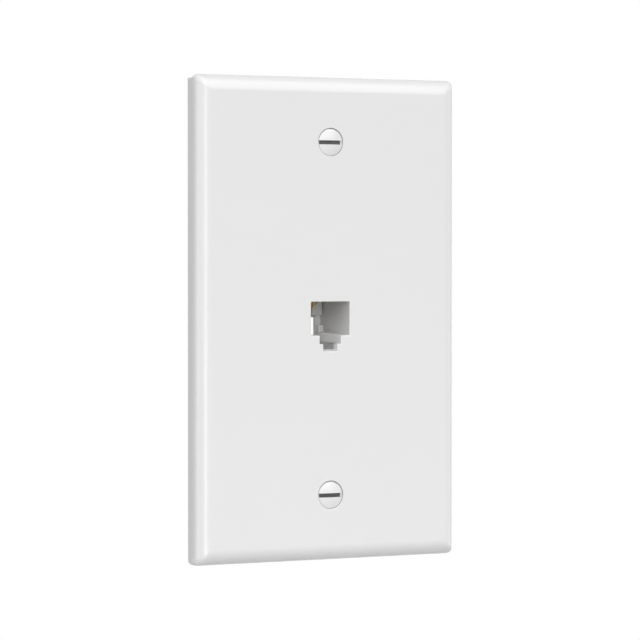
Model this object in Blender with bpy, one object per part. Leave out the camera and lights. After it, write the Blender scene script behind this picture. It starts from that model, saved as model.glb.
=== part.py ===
"""Flush telephone wall socket: a one-gang wall plate with a six-position jack moulded into it.

The plate stands in the XZ plane. Its front faces -Y and its rear rim lies on the wall, at y = 0.
The origin is at the middle of the plate, on the wall. All lengths are in metres.
"""

import math

import bmesh
import bpy
from mathutils import Vector

MM = 0.001

# Clearances between pieces that meet
CLEARANCE = 0.3 * MM
WIRE_CLEARANCE = 0.13 * MM
OVERCUT = 1.0 * MM
MERGE_DISTANCE = 0.0001 * MM

# Wall plate
PLATE_WIDTH = 69.85 * MM
PLATE_HEIGHT = 114.3 * MM
PLATE_DEPTH = 5.5 * MM
FACE_THICKNESS = 2.2 * MM
RIM_THICKNESS = 1.9 * MM
EDGE_INSET = 3.8 * MM
EDGE_DEPTH = 3.5 * MM
CORNER_RADIUS = 2.0 * MM
FACE_CORNER_RADIUS = 0.35 * MM
INNER_EDGE_INSET = 2.6 * MM
INNER_EDGE_DEPTH = 2.2 * MM
INNER_CORNER_RADIUS = 1.2 * MM
RIB_THICKNESS = 1.2 * MM
RIB_SETBACK = 0.7 * MM
RIB_ROOT = 0.4 * MM
CROSS_RIB_Z = 25.0 * MM
EDGE_STEPS = 10
CORNER_STEPS = 6

# Plate screws and their countersunk holes
SCREW_SPACING = 83.3 * MM
SCREW_DIAMETER = 3.5 * MM
SCREW_HEAD_DIAMETER = 6.3 * MM
SCREW_HEAD_ANGLE = math.radians(82)
SCREW_CROWN = 0.5 * MM
SCREW_LENGTH = 22.0 * MM
SCREW_SLOT_WIDTH = 0.95 * MM
SCREW_SLOT_DEPTH = 0.9 * MM
SCREW_TIP = 0.8 * MM
SCREW_BOSS_WALL = 1.6 * MM

# Jack mouth and plug cavity
MOUTH_WIDTH = 10.4 * MM
MOUTH_HEIGHT = 8.0 * MM
MOUTH_TOP_Z = 4.1 * MM
CAVITY_DEPTH = 14.0 * MM
CAVITY_SIDE_DRAFT = 0.3 * MM
CAVITY_FLOOR_RISE = 0.65 * MM
PLUG_STOP_DEPTH = 1.3 * MM
PLUG_STOP_HEIGHT = 1.5 * MM
PLUG_STOP_GAP = 0.15 * MM
REAR_WINDOW_WIDTH = 7.0 * MM

# Latch notch below the mouth
LATCH_WIDTH = 5.7 * MM
LATCH_HEIGHT = 2.0 * MM
LATCH_NECK_WIDTH = 3.8 * MM
LATCH_NECK_HEIGHT = 1.75 * MM
LATCH_NECK_RISE = 0.65 * MM
LATCH_WALL = 1.95 * MM
LATCH_CHAMBER_WIDTH = 8.4 * MM
LATCH_CHAMBER_HEIGHT = 2.7 * MM
LATCH_RAIL_RISE = 0.75 * MM

# Jack housing behind the plate
HOUSING_WALL = 1.4 * MM
HOUSING_CORNER = 0.8 * MM
REAR_WALL = 1.0 * MM
HOOD_OVERLAP = 1.4 * MM

# Contact carrier, a comb that slides into the hood from the rear
CARRIER_WIDTH = 11.6 * MM
CARRIER_SEAT = 0.3 * MM
CARRIER_BASE = 0.8 * MM
CARRIER_NOSE_DEPTH = 8.4 * MM
CARRIER_COMB_HEIGHT = 1.1 * MM
FRONT_COMB_LENGTH = 2.2 * MM
REAR_COMB_LENGTH = 1.8 * MM
CARRIER_TAIL = 2.6 * MM
COMB_WALL_WIDTH = 9.0 * MM
COMB_WALL_THICKNESS = 1.3 * MM
COMB_WALL_CATCH = 0.45 * MM
COMB_SLOT_ABOVE_TIP = 1.6 * MM
DOORWAY_SILL_Z = 1.2 * MM
FLANGE_WIDTH = 11.0 * MM
FLANGE_THICKNESS = 1.0 * MM
FLANGE_DROP = 1.1 * MM

# Contact wires
CONTACT_COUNT = 4
CONTACT_DIAMETER = 0.4 * MM
CONTACT_PITCH = 1.02 * MM
CONTACT_REAR_PITCH = 2.3 * MM
CONTACT_BEND_RADIUS = 0.8 * MM
CONTACT_SLOPE = math.radians(27)
CONTACT_TAIL = 1.7 * MM
CONTACT_TIP_IN_COMB = 0.7 * MM

# Screw terminals beside the jack
TERMINAL_X = 16.0 * MM
TERMINAL_Z = 13.0 * MM
TERMINAL_BOSS_DIAMETER = 8.0 * MM
TERMINAL_BOSS_TOP_Y = 3.4 * MM
TERMINAL_HOLE_DEPTH = 5.4 * MM
TERMINAL_SCREW_DIAMETER = 3.0 * MM
TERMINAL_HEAD_DIAMETER = 6.0 * MM
TERMINAL_HEAD_HEIGHT = 2.0 * MM
TERMINAL_HEAD_FLAT = 4.2 * MM
TERMINAL_HEAD_SIDE = 1.1 * MM
TERMINAL_TURN = math.radians(25)
TERMINAL_SLOT_WIDTH = 0.9 * MM
TERMINAL_SLOT_DEPTH = 1.0 * MM
WASHER_DIAMETER = 7.2 * MM
WASHER_THICKNESS = 0.7 * MM
WASHER_DISH = 0.3 * MM

# Spade lugs on the leads
LUG_DIAMETER = 6.4 * MM
LUG_THICKNESS = 0.7 * MM
LUG_NECK_WIDTH = 2.2 * MM
LUG_REACH = 7.6 * MM
BARREL_LENGTH = 3.4 * MM
BARREL_WALL = 0.4 * MM

# Insulated leads from the contact wires to the lugs
LEAD_DIAMETER = 1.3 * MM
LEAD_BORE_DEPTH = 2.0 * MM
LEAD_STEPS = 4

# Routes of the leads in mm: first points out from the carrier, then points before the lug, x outwards
UPPER_LEAD_OUT = [(0, 2.2, 0.2), (-0.3, 4.1, 1.8), (-0.7, 4.3, 4.4)]
UPPER_LEAD_IN = [(-6.1, 9.3, -0.8), (-6.4, 6.3, 0.1), (-6.1, 3.4, 0.2), (-5.0, 1.2, 0.1), (-3.3, 0.1, 0)]
LOWER_LEAD_OUT = [(0, 2.1, -0.3), (0.2, 3.7, -2.0), (0.5, 4.0, -4.6), (0.8, 3.8, -8.6), (1.1, 2.9, -12.6)]
LOWER_LEAD_IN = [(-5.9, 8.2, 2.0), (-5.6, 5.2, 0.3), (-5.2, 2.5, -0.2), (-4.2, 0.7, -0.1), (-2.8, 0, 0)]

# Places worked out from the sizes above
FACE_Y = -PLATE_DEPTH
FACE_BACK_Y = FACE_Y + FACE_THICKNESS
CAVITY_BACK_Y = FACE_Y + CAVITY_DEPTH
HOUSING_REAR_Y = CAVITY_BACK_Y + REAR_WALL
MOUTH_FLOOR_Z = MOUTH_TOP_Z - MOUTH_HEIGHT
LATCH_FLOOR_Z = MOUTH_FLOOR_Z - LATCH_HEIGHT
CHAMBER_FLOOR_Z = LATCH_FLOOR_Z - LATCH_CHAMBER_HEIGHT
HOUSING_BOTTOM_Z = CHAMBER_FLOOR_Z - HOUSING_WALL
HOUSING_HALF_WIDTH = CARRIER_WIDTH / 2 + CLEARANCE + HOUSING_WALL
NOSE_Y = FACE_Y + CARRIER_NOSE_DEPTH
CARRIER_BOTTOM_Z = MOUTH_TOP_Z + CARRIER_SEAT + CLEARANCE
CARRIER_FLOOR_Z = CARRIER_BOTTOM_Z + CARRIER_BASE
CARRIER_TOP_Z = CARRIER_FLOOR_Z + CARRIER_COMB_HEIGHT
CARRIER_REAR_Y = HOUSING_REAR_Y + CARRIER_TAIL
HOOD_TOP_Z = CARRIER_TOP_Z + CLEARANCE + HOUSING_WALL
TUNNEL_TOP_Z = MOUTH_TOP_Z + HOUSING_WALL
HOOD_FRONT_Y = NOSE_Y - CONTACT_DIAMETER - CLEARANCE
WIRE_TOP_Z = CARRIER_FLOOR_Z + WIRE_CLEARANCE + CONTACT_DIAMETER / 2
LUG_Y = TERMINAL_BOSS_TOP_Y + CLEARANCE
WASHER_Y = LUG_Y + LUG_THICKNESS + CLEARANCE
HEAD_Y = WASHER_Y + WASHER_THICKNESS + WASHER_DISH + CLEARANCE
BARREL_BORE = LEAD_DIAMETER + 2 * CLEARANCE
BARREL_Y = LUG_Y + BARREL_BORE / 2 + BARREL_WALL


def clear_scene():
    """Empties the scene of objects."""
    for thing in list(bpy.data.objects):
        bpy.data.objects.remove(thing)


def plastic_or_metal(name, colour, roughness, metallic=0.0):
    """A plain finish with a colour, a roughness and a metallic value."""
    material = bpy.data.materials.new(name)
    material.use_nodes = True
    shader = material.node_tree.nodes["Principled BSDF"]
    shader.inputs["Base Color"].default_value = (*colour, 1.0)
    shader.inputs["Roughness"].default_value = roughness
    shader.inputs["Metallic"].default_value = metallic
    material.diffuse_color = (*colour, 1.0)
    return material


def object_from(shape, name, finish=None):
    """Turns a bmesh into a named object with its faces pointing out."""
    bmesh.ops.remove_doubles(shape, verts=shape.verts, dist=MERGE_DISTANCE)
    bmesh.ops.recalc_face_normals(shape, faces=shape.faces)
    mesh = bpy.data.meshes.new(name)
    shape.to_mesh(mesh)
    shape.free()
    piece = bpy.data.objects.new(name, mesh)
    bpy.context.scene.collection.objects.link(piece)
    if finish:
        mesh.materials.append(finish)
    return piece


def block(name, x, y, z, corner=0.0, finish=None):
    """A block between two values on each axis, its edges along Y rounded where a corner is given."""
    shape = bmesh.new()
    bmesh.ops.create_cube(shape, size=1)
    size = (x[1] - x[0], y[1] - y[0], z[1] - z[0])
    middle = Vector((x[0] + x[1], y[0] + y[1], z[0] + z[1])) / 2
    bmesh.ops.scale(shape, vec=size, verts=shape.verts)
    bmesh.ops.translate(shape, vec=middle, verts=shape.verts)
    if corner:
        along_y = [e for e in shape.edges if abs(e.verts[0].co.y - e.verts[1].co.y) > size[1] / 2]
        bmesh.ops.bevel(
            shape,
            geom=along_y,
            offset=corner,
            segments=4,
            profile=0.5,
            affect="EDGES",
            material=-1,
        )
    return object_from(shape, name, finish)


def loft(name, rings, finish=None):
    """A closed solid through rings of points, all of one count."""
    shape = bmesh.new()
    loops = [[shape.verts.new(point) for point in ring] for ring in rings]
    shape.faces.new(loops[0])
    shape.faces.new(loops[-1])
    for lower, upper in zip(loops, loops[1:]):
        for i in range(len(lower)):
            j = (i + 1) % len(lower)
            shape.faces.new((lower[i], lower[j], upper[j], upper[i]))
    return object_from(shape, name, finish)


def turned(name, profile, steps=32, finish=None):
    """A profile of (radius, height) points turned about the Z axis, closed at both ends on the axis."""
    shape = bmesh.new()
    line = [shape.verts.new((radius, 0, height)) for radius, height in profile]
    edges = [shape.edges.new(pair) for pair in zip(line, line[1:])]
    bmesh.ops.spin(
        shape,
        geom=line + edges,
        cent=(0, 0, 0),
        axis=(0, 0, 1),
        angle=2 * math.pi,
        steps=steps,
        use_merge=True,
    )
    return object_from(shape, name, finish)


def cylinder(name, radius, low, high, steps=32):
    """A plain cylinder along Z between two heights."""
    return turned(name, [(0, low), (radius, low), (radius, high), (0, high)], steps)


def place(piece, x, y, z, turn=0.0):
    """Stands a turned piece's axis along -Y, turned about that axis, with its origin at the point."""
    piece.rotation_euler = (math.pi / 2, turn, 0)
    piece.location = (x, y, z)
    return piece


def tool_group(name, tools):
    """A collection of hidden shapes that one Boolean joins or cuts."""
    group = bpy.data.collections.new(name)
    bpy.context.scene.collection.children.link(group)
    for tool in tools:
        bpy.context.scene.collection.objects.unlink(tool)
        group.objects.link(tool)
        tool.hide_render = True
        tool.display_type = "WIRE"
    return group


def combine(piece, name, operation, tools):
    """Joins the tools to the piece, or cuts them from it, with one Boolean."""
    step = piece.modifiers.new(name, "BOOLEAN")
    step.operation = operation
    step.solver = "EXACT"
    step.operand_type = "COLLECTION"
    step.collection = tool_group(piece.name + "_" + name, tools)


def shade_round(piece, angle=math.radians(35)):
    """Smooth shading with sharp edges kept."""
    piece.data.shade_smooth()
    piece.data.set_sharp_from_angle(angle=angle)


def rounded_rectangle(width, height, radius, y):
    """Points round a rectangle in the XZ plane whose corners are arcs."""
    points = []
    for corner, (side, end) in enumerate(((1, 1), (-1, 1), (-1, -1), (1, -1))):
        centre_x = side * (width / 2 - radius)
        centre_z = end * (height / 2 - radius)
        for step in range(CORNER_STEPS + 1):
            angle = (corner + step / CORNER_STEPS) * math.pi / 2
            points.append((centre_x + radius * math.cos(angle), y, centre_z + radius * math.sin(angle)))
    return points


def rectangle(half_width, low, high, y):
    """Four points round an upright rectangle centred on x = 0."""
    return [(half_width, y, low), (half_width, y, high), (-half_width, y, high), (-half_width, y, low)]


def edge_rings(width, height, depth, inset, fall, radius, face_radius, rear_y):
    """Rings from the rear of a plate, up its side and round its elliptical front edge to its flat face."""
    rings = [rounded_rectangle(width, height, radius, rear_y)]
    for step in range(EDGE_STEPS + 1):
        angle = math.pi / 2 * step / EDGE_STEPS
        drawn_in = inset * (1 - math.cos(angle))
        y = -(depth - fall) - fall * math.sin(angle)
        corner = radius + (face_radius - radius) * drawn_in / inset
        rings.append(rounded_rectangle(width - 2 * drawn_in, height - 2 * drawn_in, corner, y))
    return rings


def plate_body(finish):
    """The outer form of the plate, as a solid."""
    rings = edge_rings(
        PLATE_WIDTH,
        PLATE_HEIGHT,
        PLATE_DEPTH,
        EDGE_INSET,
        EDGE_DEPTH,
        CORNER_RADIUS,
        FACE_CORNER_RADIUS,
        0.0,
    )
    return loft("wall_plate", rings, finish)


def plate_hollow():
    """The hollow of the plate's back, which leaves an even wall."""
    rings = edge_rings(
        PLATE_WIDTH - 2 * RIM_THICKNESS,
        PLATE_HEIGHT - 2 * RIM_THICKNESS,
        PLATE_DEPTH - FACE_THICKNESS,
        INNER_EDGE_INSET,
        INNER_EDGE_DEPTH,
        INNER_CORNER_RADIUS,
        FACE_CORNER_RADIUS,
        OVERCUT,
    )
    return loft("hollow", rings)


def housing_blocks():
    """The tunnel round the plug cavity and the higher hood over the contact carrier."""
    half = HOUSING_HALF_WIDTH
    tunnel_z = (HOUSING_BOTTOM_Z, TUNNEL_TOP_Z)
    hood_z = (TUNNEL_TOP_Z - 2 * HOUSING_CORNER, HOOD_TOP_Z)
    front = FACE_BACK_Y - FACE_THICKNESS / 2
    hood_front = HOOD_FRONT_Y - HOOD_OVERLAP
    tunnel = block("tunnel", (-half, half), (front, HOUSING_REAR_Y), tunnel_z, HOUSING_CORNER)
    hood = block("hood", (-half, half), (hood_front, HOUSING_REAR_Y), hood_z, HOUSING_CORNER)
    return [tunnel, hood]


def boss(name, x, z, diameter, top_y):
    """A round post that stands on the back of the plate's face."""
    root = FACE_BACK_Y - FACE_THICKNESS / 2
    post = cylinder(name, diameter / 2, -top_y, -root)
    return place(post, x, 0, z)


def plate_bosses():
    """Posts behind the plate screws and under the screw terminals."""
    bosses = []
    for end in (-1, 1):
        diameter = SCREW_DIAMETER + 2 * CLEARANCE + 2 * SCREW_BOSS_WALL
        bosses.append(boss("screw_boss", 0, end * SCREW_SPACING / 2, diameter, -RIB_SETBACK))
        for side in (-1, 1):
            x = side * TERMINAL_X
            z = end * TERMINAL_Z
            bosses.append(boss("terminal_boss", x, z, TERMINAL_BOSS_DIAMETER, TERMINAL_BOSS_TOP_Y))
    return bosses


def plate_ribs():
    """Stiffening ribs: two across the plate, and one from each side of the plate to a terminal post."""
    half = RIB_THICKNESS / 2
    side_x = PLATE_WIDTH / 2 - RIM_THICKNESS / 2
    y = (FACE_BACK_Y - RIB_ROOT, -RIB_SETBACK)
    ribs = []
    for end in (-1, 1):
        z = end * CROSS_RIB_Z
        ribs.append(block("cross_rib", (-side_x, side_x), y, (z - half, z + half)))
        for side in (-1, 1):
            x = sorted((side * TERMINAL_X, side * side_x))
            z = end * TERMINAL_Z
            ribs.append(block("terminal_rib", x, y, (z - half, z + half)))
    return ribs


def cavity_cuts():
    """The plug cavity, the stepped latch notch and the latch chamber under the floor rails."""
    before = FACE_Y - OVERCUT
    mouth = MOUTH_WIDTH / 2
    narrow = mouth - CAVITY_SIDE_DRAFT
    back_floor = MOUTH_FLOOR_Z + CAVITY_FLOOR_RISE
    cavity_rings = [
        rectangle(mouth, MOUTH_FLOOR_Z, MOUTH_TOP_Z, before),
        rectangle(mouth, MOUTH_FLOOR_Z, MOUTH_TOP_Z, FACE_Y),
        rectangle(narrow, back_floor, MOUTH_TOP_Z, CAVITY_BACK_Y),
    ]
    cavity = loft("plug_cavity", cavity_rings)
    half = LATCH_WIDTH / 2
    channel_z = (LATCH_FLOOR_Z, MOUTH_FLOOR_Z + 2 * CAVITY_FLOOR_RISE)
    channel_y = (before, HOUSING_REAR_Y + OVERCUT)
    channel = block("latch_channel", (-half, half), channel_y, channel_z)
    wall_y = FACE_Y + LATCH_WALL
    neck = LATCH_NECK_WIDTH / 2
    neck_low = LATCH_FLOOR_Z - LATCH_NECK_HEIGHT
    neck_top = LATCH_FLOOR_Z + LATCH_HEIGHT / 2
    neck_rings = [
        rectangle(neck, neck_low, neck_top, before),
        rectangle(neck, neck_low, neck_top, FACE_Y),
        rectangle(neck, neck_low + LATCH_NECK_RISE, neck_top, wall_y + LATCH_WALL / 2),
    ]
    neck_cut = loft("latch_neck", neck_rings)
    chamber = LATCH_CHAMBER_WIDTH / 2
    chamber_rings = [
        rectangle(chamber, CHAMBER_FLOOR_Z, LATCH_FLOOR_Z, wall_y),
        rectangle(chamber, CHAMBER_FLOOR_Z, LATCH_FLOOR_Z + LATCH_RAIL_RISE, CAVITY_BACK_Y),
    ]
    chamber_cut = loft("latch_chamber", chamber_rings)
    return [cavity, channel, neck_cut, chamber_cut]


def carrier_cuts():
    """The pocket in the hood for the contact carrier, and the way in from the rear."""
    half = CARRIER_WIDTH / 2 + CLEARANCE
    behind = HOUSING_REAR_Y + OVERCUT
    rail_z = MOUTH_TOP_Z + CARRIER_SEAT
    pocket_z = (rail_z, CARRIER_TOP_Z + CLEARANCE)
    pocket = block("carrier_pocket", (-half, half), (HOOD_FRONT_Y, behind), pocket_z)
    throat = COMB_WALL_WIDTH / 2 + CLEARANCE
    throat_z = (MOUTH_TOP_Z - CARRIER_SEAT, rail_z + CARRIER_SEAT)
    throat_cut = block("carrier_throat", (-throat, throat), (HOOD_FRONT_Y, behind), throat_z)
    doorway_z = (DOORWAY_SILL_Z, MOUTH_TOP_Z)
    doorway = block("rear_doorway", (-throat, throat), (CAVITY_BACK_Y - OVERCUT, behind), doorway_z)
    window = REAR_WINDOW_WIDTH / 2
    window_z = (LATCH_FLOOR_Z, DOORWAY_SILL_Z + CLEARANCE)
    window_cut = block("rear_window", (-window, window), (CAVITY_BACK_Y - OVERCUT, behind), window_z)
    return [pocket, throat_cut, doorway, window_cut]


def head_height():
    """How far a countersunk head's cone reaches below its rim."""
    return (SCREW_HEAD_DIAMETER - SCREW_DIAMETER) / 2 / math.tan(SCREW_HEAD_ANGLE / 2)


def screw_hole_cuts():
    """Countersunk holes for the plate screws and blind holes for the terminal screws."""
    hole = SCREW_DIAMETER / 2 + CLEARANCE
    rim = SCREW_HEAD_DIAMETER / 2 + CLEARANCE
    depth = head_height()
    profile = [(0, OVERCUT), (rim, OVERCUT), (rim, 0), (hole, -depth), (hole, -PLATE_DEPTH - OVERCUT)]
    profile.append((0, -PLATE_DEPTH - OVERCUT))
    cuts = []
    for end in (-1, 1):
        cuts.append(place(turned("countersink", profile), 0, FACE_Y, end * SCREW_SPACING / 2))
        for side in (-1, 1):
            radius = TERMINAL_SCREW_DIAMETER / 2 + CLEARANCE
            hole_cut = cylinder("terminal_hole", radius, -OVERCUT, TERMINAL_HOLE_DEPTH, 24)
            cuts.append(place(hole_cut, side * TERMINAL_X, TERMINAL_BOSS_TOP_Y, end * TERMINAL_Z))
    return cuts


def plug_stops():
    """Two ledges at the rear of the cavity floor that the plug comes to rest against."""
    outer = HOUSING_HALF_WIDTH - HOUSING_WALL / 2
    inner = REAR_WINDOW_WIDTH / 2 + PLUG_STOP_GAP
    y = (CAVITY_BACK_Y - PLUG_STOP_DEPTH, CAVITY_BACK_Y + REAR_WALL / 2)
    floor = MOUTH_FLOOR_Z + CAVITY_FLOOR_RISE
    z = (MOUTH_FLOOR_Z - LATCH_HEIGHT / 4, floor + PLUG_STOP_HEIGHT)
    return [block("plug_stop", sorted((side * inner, side * outer)), y, z) for side in (-1, 1)]


def wall_plate(finish):
    """The plate with its jack housing, posts, ribs and holes, moulded in one piece."""
    plate = plate_body(finish)
    combine(plate, "hollow", "DIFFERENCE", [plate_hollow()])
    combine(plate, "fittings", "UNION", housing_blocks() + plate_bosses() + plate_ribs())
    combine(plate, "openings", "DIFFERENCE", cavity_cuts() + carrier_cuts() + screw_hole_cuts())
    combine(plate, "stops", "UNION", plug_stops())
    return plate


def contact_places(pitch):
    """The x places of the contacts, evenly spaced about the middle."""
    first = -(CONTACT_COUNT - 1) / 2
    return [(first + index) * pitch for index in range(CONTACT_COUNT)]


def comb_slots(name, pitch, y, z):
    """Slots that hold the contact wires apart."""
    half = CONTACT_DIAMETER / 2 + WIRE_CLEARANCE
    return [block(name, (x - half, x + half), y, z) for x in contact_places(pitch)]


def comb_wall_span():
    """Front and rear of the comb wall, which hangs just in front of the rear wall of the cavity."""
    rear = CAVITY_BACK_Y - CLEARANCE
    return rear - COMB_WALL_THICKNESS, rear


def front_comb_span():
    """Front and rear of the comb behind the nose."""
    front = NOSE_Y + CARRIER_BASE
    return front, front + FRONT_COMB_LENGTH


def rear_comb_span():
    """Front and rear of the comb at the rear end of the carrier."""
    return CARRIER_REAR_Y - REAR_COMB_LENGTH, CARRIER_REAR_Y


def carrier_parts():
    """The rounded nose, both combs, the comb wall with its catch and the flange that stops the carrier."""
    half = CARRIER_WIDTH / 2
    nose = cylinder("nose", CARRIER_BASE / 2, -half, half, 16)
    nose.rotation_euler = (0, math.pi / 2, 0)
    nose.location = (0, NOSE_Y + CARRIER_BASE / 2, CARRIER_BOTTOM_Z + CARRIER_BASE / 2)
    sunk = CARRIER_FLOOR_Z - CARRIER_BASE / 2
    comb_z = (sunk, CARRIER_TOP_Z)
    front_comb = block("front_comb", (-half, half), front_comb_span(), comb_z)
    rear_comb = block("rear_comb", (-half, half), rear_comb_span(), comb_z)
    wall = COMB_WALL_WIDTH / 2
    wall_z = (DOORWAY_SILL_Z - COMB_WALL_CATCH, sunk)
    comb_wall = block("comb_wall", (-wall, wall), comb_wall_span(), wall_z)
    flange = FLANGE_WIDTH / 2
    flange_front = HOUSING_REAR_Y + CLEARANCE
    flange_y = (flange_front, flange_front + FLANGE_THICKNESS)
    flange_plate = block("flange", (-flange, flange), flange_y, (DOORWAY_SILL_Z - FLANGE_DROP, sunk))
    return [nose, front_comb, rear_comb, comb_wall, flange_plate]


def carrier_slots():
    """The slots for the wires through both combs and for their tips through the comb wall."""
    slots = []
    slot_z = (CARRIER_FLOOR_Z, CARRIER_TOP_Z + OVERCUT)
    for name, pitch, span in (
        ("front_slot", CONTACT_PITCH, front_comb_span()),
        ("rear_slot", CONTACT_REAR_PITCH, rear_comb_span()),
    ):
        slots += comb_slots(name, pitch, (span[0] - OVERCUT, span[1] + OVERCUT), slot_z)
    front, rear = comb_wall_span()
    tip_z = (DOORWAY_SILL_Z - COMB_WALL_CATCH - OVERCUT, wire_tip().z + COMB_SLOT_ABOVE_TIP)
    return slots + comb_slots("tip_slot", CONTACT_PITCH, (front - OVERCUT, rear + CLEARANCE), tip_z)


def contact_carrier(finish):
    """The comb that carries the contact wires."""
    half = CARRIER_WIDTH / 2
    base_y = (NOSE_Y + CARRIER_BASE / 2, CARRIER_REAR_Y)
    base_z = (CARRIER_BOTTOM_Z, CARRIER_FLOOR_Z)
    carrier = block("contact_carrier", (-half, half), base_y, base_z, 0, finish)
    combine(carrier, "combs", "UNION", carrier_parts())
    combine(carrier, "slots", "DIFFERENCE", carrier_slots())
    return carrier


def bend_end():
    """Where the bend round the nose ends and the sloping spring leg starts, at x = 0."""
    centre = Vector((0, NOSE_Y + CARRIER_BASE / 2, WIRE_TOP_Z - CONTACT_BEND_RADIUS))
    angle = 1.5 * math.pi - CONTACT_SLOPE
    return centre + CONTACT_BEND_RADIUS * Vector((0, math.cos(angle), math.sin(angle)))


def wire_tip():
    """The free end of the spring leg, inside its slot in the comb wall, at x = 0."""
    start = bend_end()
    y = comb_wall_span()[0] + CONTACT_TIP_IN_COMB
    return Vector((0, y, start.z - (y - start.y) * math.tan(CONTACT_SLOPE)))


def contact_route(front_x, rear_x):
    """The wire's path: forward over the carrier, round its nose, then back and down into the cavity."""
    top = WIRE_TOP_Z
    fan_rear_y = rear_comb_span()[0] - CONTACT_DIAMETER
    fan_front_y = front_comb_span()[1] + CONTACT_DIAMETER
    bend_y = NOSE_Y + CARRIER_BASE / 2
    route = [
        (rear_x, CARRIER_REAR_Y + CONTACT_TAIL, top),
        (rear_x, fan_rear_y, top),
        (front_x, fan_front_y, top),
    ]
    steps = 8
    for step in range(steps + 1):
        angle = math.pi / 2 + (math.pi - CONTACT_SLOPE) * step / steps
        y = bend_y + CONTACT_BEND_RADIUS * math.cos(angle)
        z = top - CONTACT_BEND_RADIUS + CONTACT_BEND_RADIUS * math.sin(angle)
        route.append((front_x, y, z))
    tip = wire_tip()
    route.append((front_x, tip.y, tip.z))
    return route


def round_rod(name, points, diameter, sides, finish):
    """A round rod or cord along a line of points, with closed ends."""
    curve = bpy.data.curves.new(name, "CURVE")
    curve.dimensions = "3D"
    curve.bevel_depth = diameter / 2
    curve.bevel_resolution = sides // 2 - 2
    curve.use_fill_caps = True
    line = curve.splines.new("POLY")
    line.points.add(len(points) - 1)
    for place_on_line, point in zip(line.points, points):
        place_on_line.co = (*point, 1.0)
    line.use_smooth = True
    curve.materials.append(finish)
    rod = bpy.data.objects.new(name, curve)
    bpy.context.scene.collection.objects.link(rod)
    return rod


def solid_rod(name, points, diameter, sides, finish):
    """A round rod as a mesh, so that a Boolean can cut it."""
    rod = round_rod(name, points, diameter, sides, finish)
    surface = bpy.data.meshes.new_from_object(rod.evaluated_get(bpy.context.evaluated_depsgraph_get()))
    bpy.data.objects.remove(rod)
    piece = bpy.data.objects.new(name, surface)
    bpy.context.scene.collection.objects.link(piece)
    return piece


def contact_wires(finish):
    """Four spring wires, at the contact pitch in the cavity and spread wider at the rear."""
    wires = []
    fronts = contact_places(CONTACT_PITCH)
    rears = contact_places(CONTACT_REAR_PITCH)
    for number, (front_x, rear_x) in enumerate(zip(fronts, rears), 1):
        route = contact_route(front_x, rear_x)
        wires.append(round_rod(f"contact_wire_{number}", route, CONTACT_DIAMETER, 8, finish))
    return wires


def plate_screw(name, finish):
    """An oval-head slotted screw, modelled head up along Z with its rim at z = 0."""
    head = SCREW_HEAD_DIAMETER / 2
    shank = SCREW_DIAMETER / 2
    dome = (head * head + SCREW_CROWN * SCREW_CROWN) / (2 * SCREW_CROWN)
    reach = math.asin(head / dome)
    steps = 6
    profile = []
    for step in range(steps + 1):
        angle = reach * step / steps
        profile.append((dome * math.sin(angle), SCREW_CROWN - dome * (1 - math.cos(angle))))
    profile.append((shank, -head_height()))
    profile.append((shank, -SCREW_LENGTH + SCREW_TIP))
    profile.append((shank - SCREW_TIP, -SCREW_LENGTH))
    profile.append((0, -SCREW_LENGTH))
    screw = turned(name, profile, 32, finish)
    slot_x = (-SCREW_HEAD_DIAMETER, SCREW_HEAD_DIAMETER)
    slot_y = (-SCREW_SLOT_WIDTH / 2, SCREW_SLOT_WIDTH / 2)
    slot = block("driver_slot", slot_x, slot_y, (-SCREW_SLOT_DEPTH, SCREW_CROWN + OVERCUT))
    slot.parent = screw
    combine(screw, "slot", "DIFFERENCE", [slot])
    shade_round(screw)
    return screw


def terminal_screw(name, turn, finish):
    """A slotted pan-head screw, modelled head up along Z with the underside of its head at z = 0."""
    head = TERMINAL_HEAD_DIAMETER / 2
    shank = TERMINAL_SCREW_DIAMETER / 2
    top = TERMINAL_HEAD_HEIGHT
    length = HEAD_Y - TERMINAL_BOSS_TOP_Y + TERMINAL_HOLE_DEPTH - CLEARANCE
    flat = TERMINAL_HEAD_FLAT / 2
    drop = top - TERMINAL_HEAD_SIDE
    profile = [(0, top)]
    steps = 3
    for step in range(steps + 1):
        angle = math.pi / 2 * step / steps
        profile.append((flat + (head - flat) * math.sin(angle), top - drop * (1 - math.cos(angle))))
    profile += [(head, 0), (shank, 0), (shank, shank / 2 - length), (shank / 2, -length), (0, -length)]
    screw = turned(name, profile, 28, finish)
    half = TERMINAL_SLOT_WIDTH / 2
    slot_z = (top - TERMINAL_SLOT_DEPTH, top + OVERCUT)
    slot = block("driver_slot", (-head - OVERCUT, head + OVERCUT), (-half, half), slot_z)
    slot.parent = screw
    combine(screw, "slot", "DIFFERENCE", [slot])
    shade_round(screw)
    screw.rotation_euler = (-math.pi / 2, turn, 0)
    return screw


def washer(name, finish):
    """A dished clamping washer, modelled along Z with its rim at z = 0."""
    hole = TERMINAL_SCREW_DIAMETER / 2 + CLEARANCE
    rim = WASHER_DIAMETER / 2
    flat = (hole + rim) / 2
    low, high = WASHER_DISH, WASHER_DISH + WASHER_THICKNESS
    profile = [(hole, low), (flat, low), (rim, 0), (rim, WASHER_THICKNESS), (flat, high), (hole, high)]
    profile.append(profile[0])
    piece = turned(name, profile, 28, finish)
    shade_round(piece)
    piece.rotation_euler = (-math.pi / 2, 0, 0)
    return piece


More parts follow.
